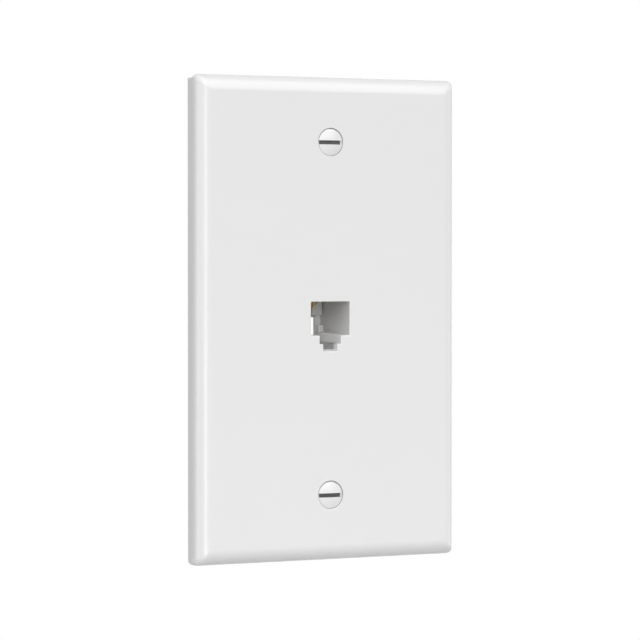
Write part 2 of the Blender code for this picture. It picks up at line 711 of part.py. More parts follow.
def spade_lug(name, side, finish):
    """A spade lug with a crimp barrel, its fork open away from the jack and its origin at the screw."""
    ring = cylinder(name, LUG_DIAMETER / 2, 0, LUG_THICKNESS, 28)
    ring.data.materials.append(finish)
    half_neck = LUG_NECK_WIDTH / 2
    barrel_outer = BARREL_BORE / 2 + BARREL_WALL
    neck_x = sorted((-side * (LUG_DIAMETER / 2 - half_neck), -side * (LUG_REACH - BARREL_LENGTH / 2)))
    neck = block("lug_neck", neck_x, (-half_neck, half_neck), (0, LUG_THICKNESS))
    barrel = cylinder("lug_barrel", barrel_outer, -BARREL_LENGTH / 2, BARREL_LENGTH / 2, 20)
    bore = cylinder("lug_bore", BARREL_BORE / 2, -BARREL_LENGTH, BARREL_LENGTH, 20)
    for tube in (barrel, bore):
        tube.rotation_euler = (0, math.pi / 2, 0)
        tube.location = (-side * LUG_REACH, 0, barrel_outer)
    screw_way = TERMINAL_SCREW_DIAMETER / 2 + CLEARANCE
    hole = cylinder("lug_hole", screw_way, -OVERCUT, LUG_THICKNESS + OVERCUT, 24)
    fork_x = sorted((0, side * LUG_DIAMETER))
    fork = block("lug_fork", fork_x, (-screw_way, screw_way), (-OVERCUT, LUG_THICKNESS + OVERCUT))
    for tool in (neck, barrel, bore, hole, fork):
        tool.parent = ring
    combine(ring, "neck_and_barrel", "UNION", [neck, barrel])
    combine(ring, "openings", "DIFFERENCE", [bore, hole, fork])
    ring.rotation_euler = (-math.pi / 2, 0, 0)
    return ring


def smooth_route(waypoints, steps):
    """Points on a smooth curve that passes through the waypoints."""
    ends = [2 * waypoints[0] - waypoints[1]] + waypoints + [2 * waypoints[-1] - waypoints[-2]]
    points = []
    for before, start, finish, after in zip(ends, ends[1:], ends[2:], ends[3:]):
        for step in range(steps):
            t = step / steps
            bend = 2 * start + (finish - before) * t
            bend += (2 * before - 5 * start + 4 * finish - after) * t ** 2
            bend += (3 * start - before - 3 * finish + after) * t ** 3
            points.append(bend / 2)
    points.append(waypoints[-1])
    return points


def lead_start(rear_x):
    """Where a lead begins, just behind the carrier, on its contact wire."""
    return Vector((rear_x, CARRIER_REAR_Y + CLEARANCE, WIRE_TOP_Z))


def lead_end(side, end):
    """Where a lead ends, inside the barrel of its lug."""
    return Vector((side * (TERMINAL_X - LUG_REACH), BARREL_Y, end * TERMINAL_Z))


def lead_route(side, end, rear_x, way_out, way_in):
    """A lead's points from the carrier to its lug, mirrored to the side it runs to."""
    start = lead_start(rear_x)
    finish = lead_end(side, end)
    route = [start]
    route += [start + MM * Vector((side * x, y, z)) for x, y, z in way_out]
    route += [finish + MM * Vector((side * x, y, z)) for x, y, z in way_in]
    mouth = Vector((side * BARREL_LENGTH / 2, 0, 0))
    return route + [finish - mouth, finish]


def lead(name, route, finish):
    """An insulated lead whose first end is bored for the contact wire's tail."""
    cord = solid_rod(name, smooth_route(route, LEAD_STEPS), LEAD_DIAMETER, 10, finish)
    bore = cylinder("lead_bore", CONTACT_DIAMETER / 2 + WIRE_CLEARANCE, -LEAD_BORE_DEPTH, OVERCUT, 12)
    place(bore, *route[0])
    combine(cord, "bore", "DIFFERENCE", [bore])
    return cord


def leads(finishes):
    """The outer pair of contacts goes to the upper terminals and the inner pair to the lower ones."""
    rears = contact_places(CONTACT_REAR_PITCH)
    upper = (UPPER_LEAD_OUT, UPPER_LEAD_IN)
    lower = (LOWER_LEAD_OUT, LOWER_LEAD_IN)
    routes = {
        "lead_black": lead_route(-1, 1, rears[0], *upper),
        "lead_red": lead_route(-1, -1, rears[1], *lower),
        "lead_green": lead_route(1, -1, rears[2], *lower),
        "lead_yellow": lead_route(1, 1, rears[3], *upper),
    }
    return [lead(name, route, finishes[name]) for name, route in routes.items()]


def terminal_sets(brass, steel):
    """At each terminal post a spade lug, a washer and a screw, one above the other."""
    pieces = []
    for row, end in (("upper", 1), ("lower", -1)):
        for hand, side in (("left", -1), ("right", 1)):
            at = f"{row}_{hand}"
            lug = spade_lug(f"spade_lug_{at}", side, brass)
            clamp = washer(f"terminal_washer_{at}", steel)
            screw = terminal_screw(f"terminal_screw_{at}", TERMINAL_TURN * side * (2 + end), steel)
            for piece, y in ((lug, LUG_Y), (clamp, WASHER_Y), (screw, HEAD_Y)):
                piece.location = (side * TERMINAL_X, y, end * TERMINAL_Z)
                pieces.append(piece)
    return pieces


def plate_screws(finish):
    """The two screws that hold the plate to the wall box."""
    pieces = []
    for name, end in (("plate_screw_upper", 1), ("plate_screw_lower", -1)):
        pieces.append(place(plate_screw(name, finish), 0, FACE_Y, end * SCREW_SPACING / 2))
    return pieces


def build():
    """Makes every piece and parents it to one empty at the socket's origin."""
    clear_scene()
    white = plastic_or_metal("white_plastic", (0.80, 0.80, 0.80), 0.32)
    comb = plastic_or_metal("comb_plastic", (0.72, 0.72, 0.70), 0.40)
    paint = plastic_or_metal("white_screw_enamel", (0.82, 0.82, 0.82), 0.28)
    gold = plastic_or_metal("gold_plating", (0.83, 0.60, 0.22), 0.22, 1.0)
    brass = plastic_or_metal("brass", (0.72, 0.56, 0.28), 0.32, 1.0)
    steel = plastic_or_metal("zinc_plated_steel", (0.62, 0.62, 0.60), 0.34, 1.0)
    covers = {
        "lead_black": plastic_or_metal("black_insulation", (0.02, 0.02, 0.02), 0.45),
        "lead_red": plastic_or_metal("red_insulation", (0.55, 0.03, 0.03), 0.45),
        "lead_green": plastic_or_metal("green_insulation", (0.03, 0.30, 0.08), 0.45),
        "lead_yellow": plastic_or_metal("yellow_insulation", (0.80, 0.58, 0.04), 0.45),
    }
    pieces = [wall_plate(white), contact_carrier(comb)]
    pieces += contact_wires(gold)
    pieces += leads(covers)
    pieces += terminal_sets(brass, steel)
    pieces += plate_screws(paint)
    socket = bpy.data.objects.new("socket", None)
    bpy.context.scene.collection.objects.link(socket)
    for piece in pieces:
        piece.parent = socket


build()
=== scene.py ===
import math

import bmesh
import bpy
from mathutils import Matrix, Vector


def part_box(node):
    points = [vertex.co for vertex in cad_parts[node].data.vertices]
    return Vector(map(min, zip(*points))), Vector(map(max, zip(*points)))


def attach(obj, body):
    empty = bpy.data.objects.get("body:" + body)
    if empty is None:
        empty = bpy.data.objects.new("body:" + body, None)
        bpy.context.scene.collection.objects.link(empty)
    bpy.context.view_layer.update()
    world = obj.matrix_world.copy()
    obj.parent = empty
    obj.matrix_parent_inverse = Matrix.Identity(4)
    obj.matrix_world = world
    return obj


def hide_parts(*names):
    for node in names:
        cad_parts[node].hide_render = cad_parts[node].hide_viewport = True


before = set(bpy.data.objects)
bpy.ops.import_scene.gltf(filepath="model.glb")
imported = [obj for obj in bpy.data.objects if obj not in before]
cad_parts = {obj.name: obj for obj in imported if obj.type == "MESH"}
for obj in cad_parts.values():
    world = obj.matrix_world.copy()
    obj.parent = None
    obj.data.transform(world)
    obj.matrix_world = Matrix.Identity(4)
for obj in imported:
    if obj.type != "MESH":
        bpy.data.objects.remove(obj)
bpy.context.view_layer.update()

MM = 0.001

# Wall plate. One injection moulding in white plastic: the plate with its rounded front edge, and on
# its back the housing of the jack, the posts for the screws and the stiffening ribs. Two screws hold
# it to the box in the wall.
plate_low, plate_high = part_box("wall_plate")
PLATE_WIDTH = plate_high.x - plate_low.x
PLATE_HEIGHT = plate_high.z - plate_low.z
FACE_Y = plate_low.y
HOUSING_REAR_Y = plate_high.y
FACE_THICKNESS = 2.2 * MM
FACE_BACK_Y = FACE_Y + FACE_THICKNESS
RIM_THICKNESS = 1.9 * MM
EDGE_INSET = 3.8 * MM
EDGE_DEPTH = 3.5 * MM
EDGE_STEPS = 24
CORNER_RADIUS = 1.3 * MM
CORNER_STEPS = 16
FACE_CORNER_RADIUS = 0.35 * MM
INNER_EDGE_INSET = 2.6 * MM
INNER_EDGE_DEPTH = 2.2 * MM
INNER_CORNER_RADIUS = 1.2 * MM
INNER_CORNER_STEPS = 10
REAR_ROUNDING = 0.15 * MM
MOUTH_ROUNDING = 0.18 * MM
INSIDE_CORNER = 0.12 * MM
ROOT_FILLET = 0.5 * MM
ROOT_DEPTH = 0.35 * MM
TIP_ROUNDING = 0.25 * MM
CLEARANCE = 0.3 * MM
ARC_STEPS = 6
# A cut reaches BEYOND what it cuts, faces that would share a plane stay APART, points that are
# TOUCHING become one, and an edge as short as a SLIVER goes.
BEYOND = 1.0 * MM
APART = 0.02 * MM
TOUCHING = 0.001 * MM
SLIVER = 0.0001 * MM


def drawn_form(name, sections, corner_steps=ARC_STEPS):
    """A closed form drawn along Y through rounded rectangles: (y, x low, x high, z low, z high, radius)."""
    shape = bmesh.new()
    y, x_low, x_high, z_low, z_high, radius = sections[0]
    places = ((x_low, y, z_low), (x_high, y, z_low), (x_high, y, z_high), (x_low, y, z_high))
    corners = [shape.verts.new(place) for place in places]
    shape.faces.new(corners)
    bmesh.ops.bevel(
        shape,
        geom=corners,
        offset=radius,
        segments=corner_steps,
        profile=0.5,
        affect="VERTICES",
        material=-1,
    )
    ring = list(shape.edges)
    last = sections[0]
    for section in sections[1:]:
        extruded = bmesh.ops.extrude_edge_only(shape, edges=ring)["geom"]
        points = {part for part in extruded if isinstance(part, bmesh.types.BMVert)}
        edges = [part for part in extruded if isinstance(part, bmesh.types.BMEdge)]
        ring = [edge for edge in edges if points.issuperset(edge.verts)]
        move_corners(shape, points, last, section)
        last = section
    bmesh.ops.contextual_create(shape, geom=ring)
    bmesh.ops.recalc_face_normals(shape, faces=shape.faces)
    return moulded_object(name, shape)


def move_corners(shape, points, old, new):
    """Moves the four rounded corners of a ring from one section's places and radius to another's."""
    middle_x = (old[1] + old[2]) / 2
    middle_z = (old[3] + old[4]) / 2
    ratio = new[5] / old[5]
    for side, x_at in ((-1, 1), (1, 2)):
        for end, z_at in ((-1, 3), (1, 4)):
            corner = [
                point
                for point in points
                if (point.co.x - middle_x) * side > 0 and (point.co.z - middle_z) * end > 0
            ]
            old_centre = Vector((old[x_at] - side * old[5], old[0], old[z_at] - end * old[5]))
            new_centre = Vector((new[x_at] - side * new[5], new[0], new[z_at] - end * new[5]))
            bmesh.ops.translate(shape, vec=-old_centre, verts=corner)
            bmesh.ops.scale(shape, vec=(ratio, 1, ratio), verts=corner)
            bmesh.ops.translate(shape, vec=new_centre, verts=corner)


def turned_form(name, profile, steps, place, toward_front=True):
    """A profile of (radius, height) points turned about an axis along Y, its height towards the front."""
    shape = bmesh.new()
    line = [shape.verts.new((radius, 0, height)) for radius, height in profile]
    edges = [shape.edges.new(pair) for pair in zip(line, line[1:])]
    bmesh.ops.spin(
        shape,
        geom=line + edges,
        cent=(0, 0, 0),
        axis=(0, 0, 1),
        angle=2 * math.pi,
        steps=steps,
        use_merge=True,
    )
    bmesh.ops.remove_doubles(shape, verts=shape.verts, dist=TOUCHING)
    poles = [point for point in shape.verts if point.co.xy.length < TOUCHING]
    bmesh.ops.dissolve_verts(shape, verts=poles)
    bmesh.ops.recalc_face_normals(shape, faces=shape.faces)
    stand(shape, place, toward_front)
    return moulded_object(name, shape)


def stand(shape, place, toward_front, turn=0.0):
    """Turns a shape made along Z to lie along Y, and moves it to its place."""
    lean = math.pi / 2 if toward_front else -math.pi / 2
    upright = Matrix.Rotation(lean, 4, "X") @ Matrix.Rotation(turn, 4, "Z")
    bmesh.ops.transform(shape, matrix=Matrix.Translation(place) @ upright, verts=shape.verts)


def moulded_object(name, shape):
    """The object of a finished shape."""
    mesh = bpy.data.meshes.new(name)
    shape.to_mesh(mesh)
    shape.free()
    piece = bpy.data.objects.new(name, mesh)
    bpy.context.scene.collection.objects.link(piece)
    return piece


def combine(piece, operation, tools):
    """Joins the tools to the piece or cuts them from it, and keeps only the result."""
    group = bpy.data.collections.new(operation)
    bpy.context.scene.collection.children.link(group)
    for tool in tools:
        bpy.context.scene.collection.objects.unlink(tool)
        group.objects.link(tool)
    step = piece.modifiers.new(operation, "BOOLEAN")
    step.operation = operation
    step.solver = "EXACT"
    step.operand_type = "COLLECTION"
    step.collection = group
    settle(piece)
    for tool in tools:
        bpy.data.objects.remove(tool)
    bpy.data.collections.remove(group)


def settle(piece):
    """Turns a piece's modifiers into its mesh, without the slivers that a cut can leave."""
    evaluated = piece.evaluated_get(bpy.context.evaluated_depsgraph_get())
    result = bpy.data.meshes.new_from_object(evaluated)
    piece.modifiers.clear()
    shape = bmesh.new()
    shape.from_mesh(result)
    bmesh.ops.dissolve_degenerate(shape, edges=shape.edges, dist=SLIVER)
    shape.to_mesh(result)
    shape.free()
    piece.data = result


def smooth(piece, angle=32):
    """Smooth shading on round faces, with flat faces kept flat and edges over the angle kept sharp."""
    piece.data.shade_smooth()
    piece.data.set_sharp_from_angle(angle=math.radians(angle))
    weighted = piece.modifiers.new("even_shading", "WEIGHTED_NORMAL")
    weighted.keep_sharp = True
    weighted.weight = 100


def rounded_edge_sections(width, height, depth, inset, fall, radius, end_radius, rear_y, steps):
    """Sections from the rear of a plate up its side and round its elliptical front edge."""
    sections = []
    for step in range(steps + 1):
        angle = math.pi / 2 * step / steps
        drawn = inset * (1 - math.cos(angle))
        y = -(depth - fall) - fall * math.sin(angle)
        corner = radius + (end_radius - radius) * drawn / inset
        half_width, half_height = width / 2 - drawn, height / 2 - drawn
        sections.append((y, -half_width, half_width, -half_height, half_height, corner))
    rear = (rear_y, *sections[0][1:])
    return [rear] + sections


def grown(section, y, growth, radius=None):
    """A section moved to y and grown on all sides."""
    corner = section[5] if radius is None else radius
    return (y, section[1] - growth, section[2] + growth, section[3] - growth, section[4] + growth, corner)


def standing_form(name, section, root_y, tip_y, corner_steps=ARC_STEPS):
    """A form that stands on the plate's back, with a fillet at its root and a rounded tip."""
    sections = []
    for step in range(1, ARC_STEPS + 1):
        angle = math.pi / 2 * step / ARC_STEPS
        rise = ROOT_FILLET * (1 - math.cos(angle))
        sections.append(grown(section, root_y + rise, ROOT_FILLET * (1 - math.sin(angle))))
    sections.insert(0, (root_y - ROOT_DEPTH, *sections[0][1:]))
    for step in range(ARC_STEPS + 1):
        angle = math.pi / 2 * step / ARC_STEPS
        rise = TIP_ROUNDING * math.sin(angle)
        sections.append(grown(section, tip_y - TIP_ROUNDING + rise, TIP_ROUNDING * (math.cos(angle) - 1)))
    return drawn_form(name, sections, corner_steps)


def post(name, x, z, radius, tip_y):
    """A round post on the plate's back, with a fillet at its root and a rounded tip."""
    profile = []
    # One step more than in a rib's fillet, so that no ring of the two lies at one height.
    fillet_steps = ARC_STEPS + 1
    for step in range(1, fillet_steps + 1):
        angle = math.pi / 2 * step / fillet_steps
        flare = ROOT_FILLET * (1 - math.sin(angle))
        profile.append((radius + flare, ROOT_FILLET * (1 - math.cos(angle))))
    root = -ROOT_DEPTH * 2
    profile = [(0, root), (profile[0][0], root)] + profile
    tip = tip_y - FACE_BACK_Y
    for step in range(ARC_STEPS + 1):
        angle = math.pi / 2 * step / ARC_STEPS
        drawn = TIP_ROUNDING * (1 - math.cos(angle))
        profile.append((radius - drawn, tip - TIP_ROUNDING + TIP_ROUNDING * math.sin(angle)))
    profile.append((0, tip))
    return turned_form(name, profile, POST_STEPS, (x, FACE_BACK_Y, z), toward_front=False)


HOUSING_HALF_WIDTH = 7.5 * MM
HOUSING_BOTTOM_Z = -10.0 * MM
TUNNEL_TOP_Z = 5.5 * MM
HOOD_TOP_Z = 8.3 * MM
HOOD_FRONT_Y = 0.8 * MM
HOOD_OVERLAP = 2.6 * MM
HOUSING_CORNER = 0.8 * MM
RIB_THICKNESS = 1.2 * MM
RIB_TIP_Y = -0.7 * MM
RIB_END_IN_RIM = 0.85 * MM
CROSS_RIB_Z = 25.0 * MM
SCREW_SPACING = 83.3 * MM
SCREW_POST_RADIUS = 3.65 * MM
TERMINAL_X = 16.0 * MM
TERMINAL_Z = 13.0 * MM
TERMINAL_POST_RADIUS = 4.0 * MM
TERMINAL_POST_TIP_Y = 3.4 * MM
POST_STEPS = 64


def housing_forms():
    """The tunnel round the plug cavity, and the hood over the contacts."""
    half = HOUSING_HALF_WIDTH
    tunnel_section = (0, -half, half, HOUSING_BOTTOM_Z, TUNNEL_TOP_Z, HOUSING_CORNER)
    tunnel = standing_form("tunnel", tunnel_section, FACE_BACK_Y, HOUSING_REAR_Y)
    half -= APART
    hood_section = (0, -half, half, TUNNEL_TOP_Z - HOOD_OVERLAP, HOOD_TOP_Z, HOUSING_CORNER)
    sections = []
    for step in range(ARC_STEPS + 1):
        angle = math.pi / 2 * step / ARC_STEPS
        drawn = TIP_ROUNDING * (math.sin(angle) - 1)
        sections.append(grown(hood_section, HOOD_FRONT_Y + TIP_ROUNDING * (1 - math.cos(angle)), drawn))
    for step in range(ARC_STEPS + 1):
        angle = math.pi / 2 * step / ARC_STEPS
        drawn = TIP_ROUNDING * (math.cos(angle) - 1)
        y = HOUSING_REAR_Y - APART - TIP_ROUNDING + TIP_ROUNDING * math.sin(angle)
        sections.append(grown(hood_section, y, drawn))
    return [tunnel, drawn_form("hood", sections)]


def posts_and_ribs():
    """Posts at the screws, two ribs across the plate and four from its sides to the terminal posts."""
    forms = []
    half = RIB_THICKNESS / 2
    side_x = PLATE_WIDTH / 2 - RIM_THICKNESS + RIB_END_IN_RIM
    for end in (-1, 1):
        forms.append(post("screw_post", 0, end * SCREW_SPACING / 2, SCREW_POST_RADIUS, RIB_TIP_Y))
        rib = (0, -side_x, side_x, end * CROSS_RIB_Z - half, end * CROSS_RIB_Z + half, INSIDE_CORNER * 3)
        forms.append(standing_form("cross_rib", rib, FACE_BACK_Y, RIB_TIP_Y))
        for side in (-1, 1):
            x, z = side * TERMINAL_X, end * TERMINAL_Z
            forms.append(post("terminal_post", x, z, TERMINAL_POST_RADIUS, TERMINAL_POST_TIP_Y))
            low, high = sorted((x, side * side_x))
            rib = (0, low, high, z - half, z + half, INSIDE_CORNER * 3)
            forms.append(standing_form("terminal_rib", rib, FACE_BACK_Y, RIB_TIP_Y))
    return forms


CAVITY_BACK_Y = 8.5 * MM
MOUTH_HALF_WIDTH = 5.2 * MM
MOUTH_TOP_Z = 4.1 * MM
MOUTH_FLOOR_Z = -3.9 * MM
CAVITY_SIDE_DRAFT = 0.3 * MM
CAVITY_FLOOR_RISE = 0.65 * MM
LATCH_HALF_WIDTH = 2.85 * MM
LATCH_FLOOR_Z = -5.9 * MM
LATCH_TOP_Z = -2.6 * MM
NECK_HALF_WIDTH = 1.9 * MM
NECK_FLOOR_Z = -7.65 * MM
NECK_RISE = 0.65 * MM
NECK_END_Y = FACE_Y + 2.925 * MM
CHAMBER_FRONT_Y = FACE_Y + 1.95 * MM
CHAMBER_HALF_WIDTH = 4.2 * MM
CHAMBER_FLOOR_Z = -8.6 * MM
RAIL_RISE = 0.75 * MM
RIM_START_DEGREES = 80


def rimmed_cut(name, front, rear, out):
    """A cut from out in front of the plate's face between two sections, with a rounded rim at the face."""
    sections = []
    for step in range(ARC_STEPS + 1):
        angle = math.radians(RIM_START_DEGREES * (1 - step / ARC_STEPS))
        y = FACE_Y + MOUTH_ROUNDING * (1 - math.sin(angle))
        share = (y - front[0]) / (rear[0] - front[0])
        section = tuple(low + (high - low) * share for low, high in zip(front, rear))
        flare = MOUTH_ROUNDING * (1 - math.cos(angle))
        sections.append(grown(section, y, flare, front[5] + flare))
    outside = (FACE_Y - out, *sections[0][1:])
    return drawn_form(name, [outside] + sections + [rear])


def jack_cuts():
    """The plug cavity, the three steps of the latch notch and the way in for the comb from behind."""
    half, corner = MOUTH_HALF_WIDTH, INSIDE_CORNER
    narrow = half - CAVITY_SIDE_DRAFT
    back_floor = MOUTH_FLOOR_Z + CAVITY_FLOOR_RISE
    behind = HOUSING_REAR_Y + BEYOND
    mouth = (FACE_Y, -half, half, MOUTH_FLOOR_Z, MOUTH_TOP_Z, corner)
    cavity_end = (CAVITY_BACK_Y, -narrow, narrow, back_floor, MOUTH_TOP_Z, corner)
    latch = (FACE_Y, -LATCH_HALF_WIDTH, LATCH_HALF_WIDTH, LATCH_FLOOR_Z, LATCH_TOP_Z, corner)
    neck_top = LATCH_FLOOR_Z + BEYOND
    neck = (FACE_Y, -NECK_HALF_WIDTH, NECK_HALF_WIDTH, NECK_FLOOR_Z, neck_top, corner)
    neck_end = (NECK_END_Y, -NECK_HALF_WIDTH, NECK_HALF_WIDTH, NECK_FLOOR_Z + NECK_RISE, neck_top, corner)
    wide = CHAMBER_HALF_WIDTH
    chamber = (CHAMBER_FRONT_Y, -wide, wide, CHAMBER_FLOOR_Z, LATCH_FLOOR_Z + APART, corner)
    chamber_end = (CAVITY_BACK_Y, -wide, wide, CHAMBER_FLOOR_Z, LATCH_FLOOR_Z + RAIL_RISE, corner)
    return [
        rimmed_cut("plug_cavity", mouth, cavity_end, BEYOND),
        rimmed_cut("latch_channel", latch, (behind, *latch[1:]), BEYOND * 0.9),
        rimmed_cut("latch_neck", neck, neck_end, BEYOND * 0.8),
        drawn_form("latch_chamber", [chamber, chamber_end]),
    ]


POCKET_HALF_WIDTH = 6.1 * MM
POCKET_FRONT_Y = 2.2 * MM
POCKET_LOW_Z = 4.4 * MM
POCKET_HIGH_Z = 6.9 * MM
THROAT_HALF_WIDTH = 4.8 * MM
THROAT_LOW_Z = 3.8 * MM
THROAT_HIGH_Z = 4.7 * MM
SILL_Z = 1.2 * MM
WINDOW_HALF_WIDTH = 3.5 * MM


def comb_cuts():
    """The pocket in the hood for the comb, the doorway for its wall and the window under it."""
    before = CAVITY_BACK_Y - BEYOND
    throat = THROAT_HALF_WIDTH
    spans = {
        "comb_pocket": (POCKET_FRONT_Y, POCKET_HALF_WIDTH, POCKET_LOW_Z, POCKET_HIGH_Z),
        "comb_throat": (POCKET_FRONT_Y + APART, throat, THROAT_LOW_Z, THROAT_HIGH_Z),
        "doorway": (before, throat - APART, SILL_Z, THROAT_HIGH_Z - CLEARANCE),
        "rear_window": (before - CLEARANCE, WINDOW_HALF_WIDTH, LATCH_FLOOR_Z + APART, SILL_Z + CLEARANCE),
    }
    cuts = []
    behind = HOUSING_REAR_Y + BEYOND
    for name, (front, half, low, high) in spans.items():
        behind += CLEARANCE
        sections = [(y, -half, half, low, high, INSIDE_CORNER) for y in (front, behind)]
        cuts.append(drawn_form(name, sections))
    return cuts


SCREW_HOLE_RADIUS = 2.05 * MM
COUNTERSINK_RADIUS = 3.33 * MM
COUNTERSINK_DEPTH = 1.61 * MM
COUNTERSINK_RIM = 0.05 * MM
COUNTERSINK_WALL = 0.6 * MM
SEAT_RADIUS = 2.85 * MM
HOLE_SHIFT = Vector((0.09, 0, 0.11)) * MM
TERMINAL_HOLE_RADIUS = 1.8 * MM
TERMINAL_HOLE_DEPTH = 5.4 * MM
HOLE_STEPS = 48
EJECTOR_MARK_RADIUS = 2.5 * MM
EJECTOR_MARK_DEPTH = 0.08 * MM
EJECTOR_MARK_PLACES = [(22.0 * MM, 36.0 * MM), (22.0 * MM, 0.0), (24.0 * MM, 48.5 * MM)]


def round_cuts():
    """Countersunk holes, a little up and right of their screws, blind holes and faint ejector marks."""
    rim, hole = COUNTERSINK_RADIUS, SCREW_HOLE_RADIUS
    sunk = [
        (0, BEYOND),
        (rim + 2 * COUNTERSINK_RIM, BEYOND),
        (rim + 2 * COUNTERSINK_RIM, COUNTERSINK_RIM),
        (rim, -COUNTERSINK_RIM),
        (rim, -COUNTERSINK_WALL),
        (SEAT_RADIUS, -COUNTERSINK_WALL - COUNTERSINK_RIM),
        (hole, -COUNTERSINK_DEPTH),
        (hole, FACE_Y - BEYOND),
        (0, FACE_Y - BEYOND),
    ]
    cuts = []
    for end in (-1, 1):
        hole_place = Vector((0, FACE_Y, end * SCREW_SPACING / 2)) + HOLE_SHIFT
        cuts.append(turned_form("countersink", sunk, 2 * HOLE_STEPS, hole_place))
        for side in (-1, 1):
            radius, depth = TERMINAL_HOLE_RADIUS, TERMINAL_HOLE_DEPTH
            blind = [(0, -BEYOND), (radius, -BEYOND), (radius, depth), (0, depth)]
            place = (side * TERMINAL_X, TERMINAL_POST_TIP_Y, end * TERMINAL_Z)
            cuts.append(turned_form("terminal_hole", blind, HOLE_STEPS, place))
            for x, z in EJECTOR_MARK_PLACES:
                if z or end > 0:
                    radius, depth = EJECTOR_MARK_RADIUS, EJECTOR_MARK_DEPTH
                    mark = [(0, -BEYOND), (radius, -BEYOND), (radius, depth), (0, depth)]
                    place = (side * x, FACE_BACK_Y, end * z)
                    cuts.append(turned_form("ejector_mark", mark, HOLE_STEPS, place))
    return cuts


PLUG_STOP_INNER_X = 3.65 * MM
PLUG_STOP_OUTER_X = 6.8 * MM
PLUG_STOP_FRONT_Y = 7.2 * MM
PLUG_STOP_REAR_Y = 9.0 * MM
PLUG_STOP_TOP_Z = -1.75 * MM
PLUG_STOP_ROOT_Z = -4.4 * MM


def plug_stop(side):
    """A ledge at the rear of the cavity floor that the plug's nose comes to rest against."""
    low, high = sorted((side * PLUG_STOP_INNER_X, side * PLUG_STOP_OUTER_X))
    section = (PLUG_STOP_FRONT_Y, low, high, PLUG_STOP_ROOT_Z, PLUG_STOP_TOP_Z, INSIDE_CORNER)
    front = [grown(section, PLUG_STOP_FRONT_Y, -INSIDE_CORNER / 2)]
    front.append((PLUG_STOP_FRONT_Y + INSIDE_CORNER / 2, *section[1:]))
    return drawn_form("plug_stop", front + [(PLUG_STOP_REAR_Y, *section[1:])])


body_sections = rounded_edge_sections(
    PLATE_WIDTH,
    PLATE_HEIGHT,
    -FACE_Y,
    EDGE_INSET,
    EDGE_DEPTH,
    CORNER_RADIUS,
    FACE_CORNER_RADIUS,
    -REAR_ROUNDING,
    EDGE_STEPS,
)
rear_section = grown(body_sections[0], 0, -REAR_ROUNDING)
plate = drawn_form("white_wall_plate", [rear_section] + body_sections, CORNER_STEPS)
hollow_sections = rounded_edge_sections(
    PLATE_WIDTH - 2 * RIM_THICKNESS,
    PLATE_HEIGHT - 2 * RIM_THICKNESS,
    -FACE_BACK_Y,
    INNER_EDGE_INSET,
    INNER_EDGE_DEPTH,
    INNER_CORNER_RADIUS,
    FACE_CORNER_RADIUS,
    BEYOND,
    EDGE_STEPS // 2,
)
combine(plate, "DIFFERENCE", [drawn_form("hollow", hollow_sections, INNER_CORNER_STEPS)])
combine(plate, "UNION", housing_forms() + posts_and_ribs())
combine(plate, "DIFFERENCE", jack_cuts() + comb_cuts() + round_cuts())
combine(plate, "UNION", [plug_stop(-1), plug_stop(1)])
smooth(plate)


def moulded_plastic(name, colours, gloss, cloud_size, grain_size, grain_height):
    """Plastic whose colour drifts a little, with a fine spark-eroded grain from the mould."""
    material = bpy.data.materials.new(name)
    material.use_nodes = True
    nodes, links = material.node_tree.nodes, material.node_tree.links
    shader = nodes["Principled BSDF"]
    place = nodes.new("ShaderNodeTexCoord")
    cloud = nodes.new("ShaderNodeTexNoise")
    cloud.inputs["Scale"].default_value = 1 / cloud_size
    cloud.inputs["Detail"].default_value = 3.0
    tone = nodes.new("ShaderNodeMix")
    tone.data_type = "RGBA"
    tone.inputs[6].default_value = (*colours[0], 1)
    tone.inputs[7].default_value = (*colours[1], 1)
    sheen = nodes.new("ShaderNodeMapRange")
    sheen.inputs["From Min"].default_value = 0.3
    sheen.inputs["From Max"].default_value = 0.7
    sheen.inputs["To Min"].default_value = gloss[0]
    sheen.inputs["To Max"].default_value = gloss[1]
    flow = nodes.new("ShaderNodeTexNoise")
    flow.inputs["Scale"].default_value = 5 / cloud_size
    flow.inputs["Detail"].default_value = 4.0
    grain = nodes.new("ShaderNodeTexNoise")
    grain.inputs["Scale"].default_value = 1 / grain_size
    grain.inputs["Detail"].default_value = 2.0
    bump = nodes.new("ShaderNodeBump")
    bump.inputs["Strength"].default_value = 1.0
    bump.inputs["Distance"].default_value = grain_height
    for texture in (cloud, flow, grain):
        links.new(place.outputs["Object"], texture.inputs["Vector"])
    links.new(cloud.outputs["Fac"], tone.inputs["Factor"])
    links.new(tone.outputs[2], shader.inputs["Base Color"])
    links.new(flow.outputs["Fac"], sheen.inputs["Value"])
    links.new(sheen.outputs["Result"], shader.inputs["Roughness"])
    links.new(grain.outputs["Fac"], bump.inputs["Height"])
    links.new(bump.outputs["Normal"], shader.inputs["Normal"])
    return material


white_plastic = moulded_plastic(
    "white_plastic",
    colours=((0.797, 0.797, 0.793), (0.806, 0.806, 0.806)),
    gloss=(0.18, 0.21),
    cloud_size=40 * MM,
    grain_size=0.12 * MM,
    grain_height=0.0003 * MM,
)
# The side walls of the jack's cavity take a darker copy of the white plastic, with painted shade for
# the recess, and a duller gloss.
jack_wall_painted_shade = moulded_plastic(
    "white_plastic_painted_shade_in_jack",
    colours=((0.63, 0.63, 0.627), (0.65, 0.65, 0.648)),
    gloss=(0.3, 0.4),
    cloud_size=20 * MM,
    grain_size=0.12 * MM,
    grain_height=0.0006 * MM,
)
plate.data.materials.append(white_plastic)
plate.data.materials.append(jack_wall_painted_shade)
# The cavity's side walls get the darker copy, as painted shade in the recess.
for face in plate.data.polygons:
    middle = face.center
    inside = FACE_Y + MOUTH_ROUNDING < middle.y < CAVITY_BACK_Y and MOUTH_FLOOR_Z < middle.z < MOUTH_TOP_Z
    on_wall = MOUTH_HALF_WIDTH - CAVITY_SIDE_DRAFT - APART < abs(middle.x) < MOUTH_HALF_WIDTH + APART
    if inside and on_wall and abs(face.normal.x) > 0.9:
        face.material_index = 1
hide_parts("wall_plate")
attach(plate, "root")

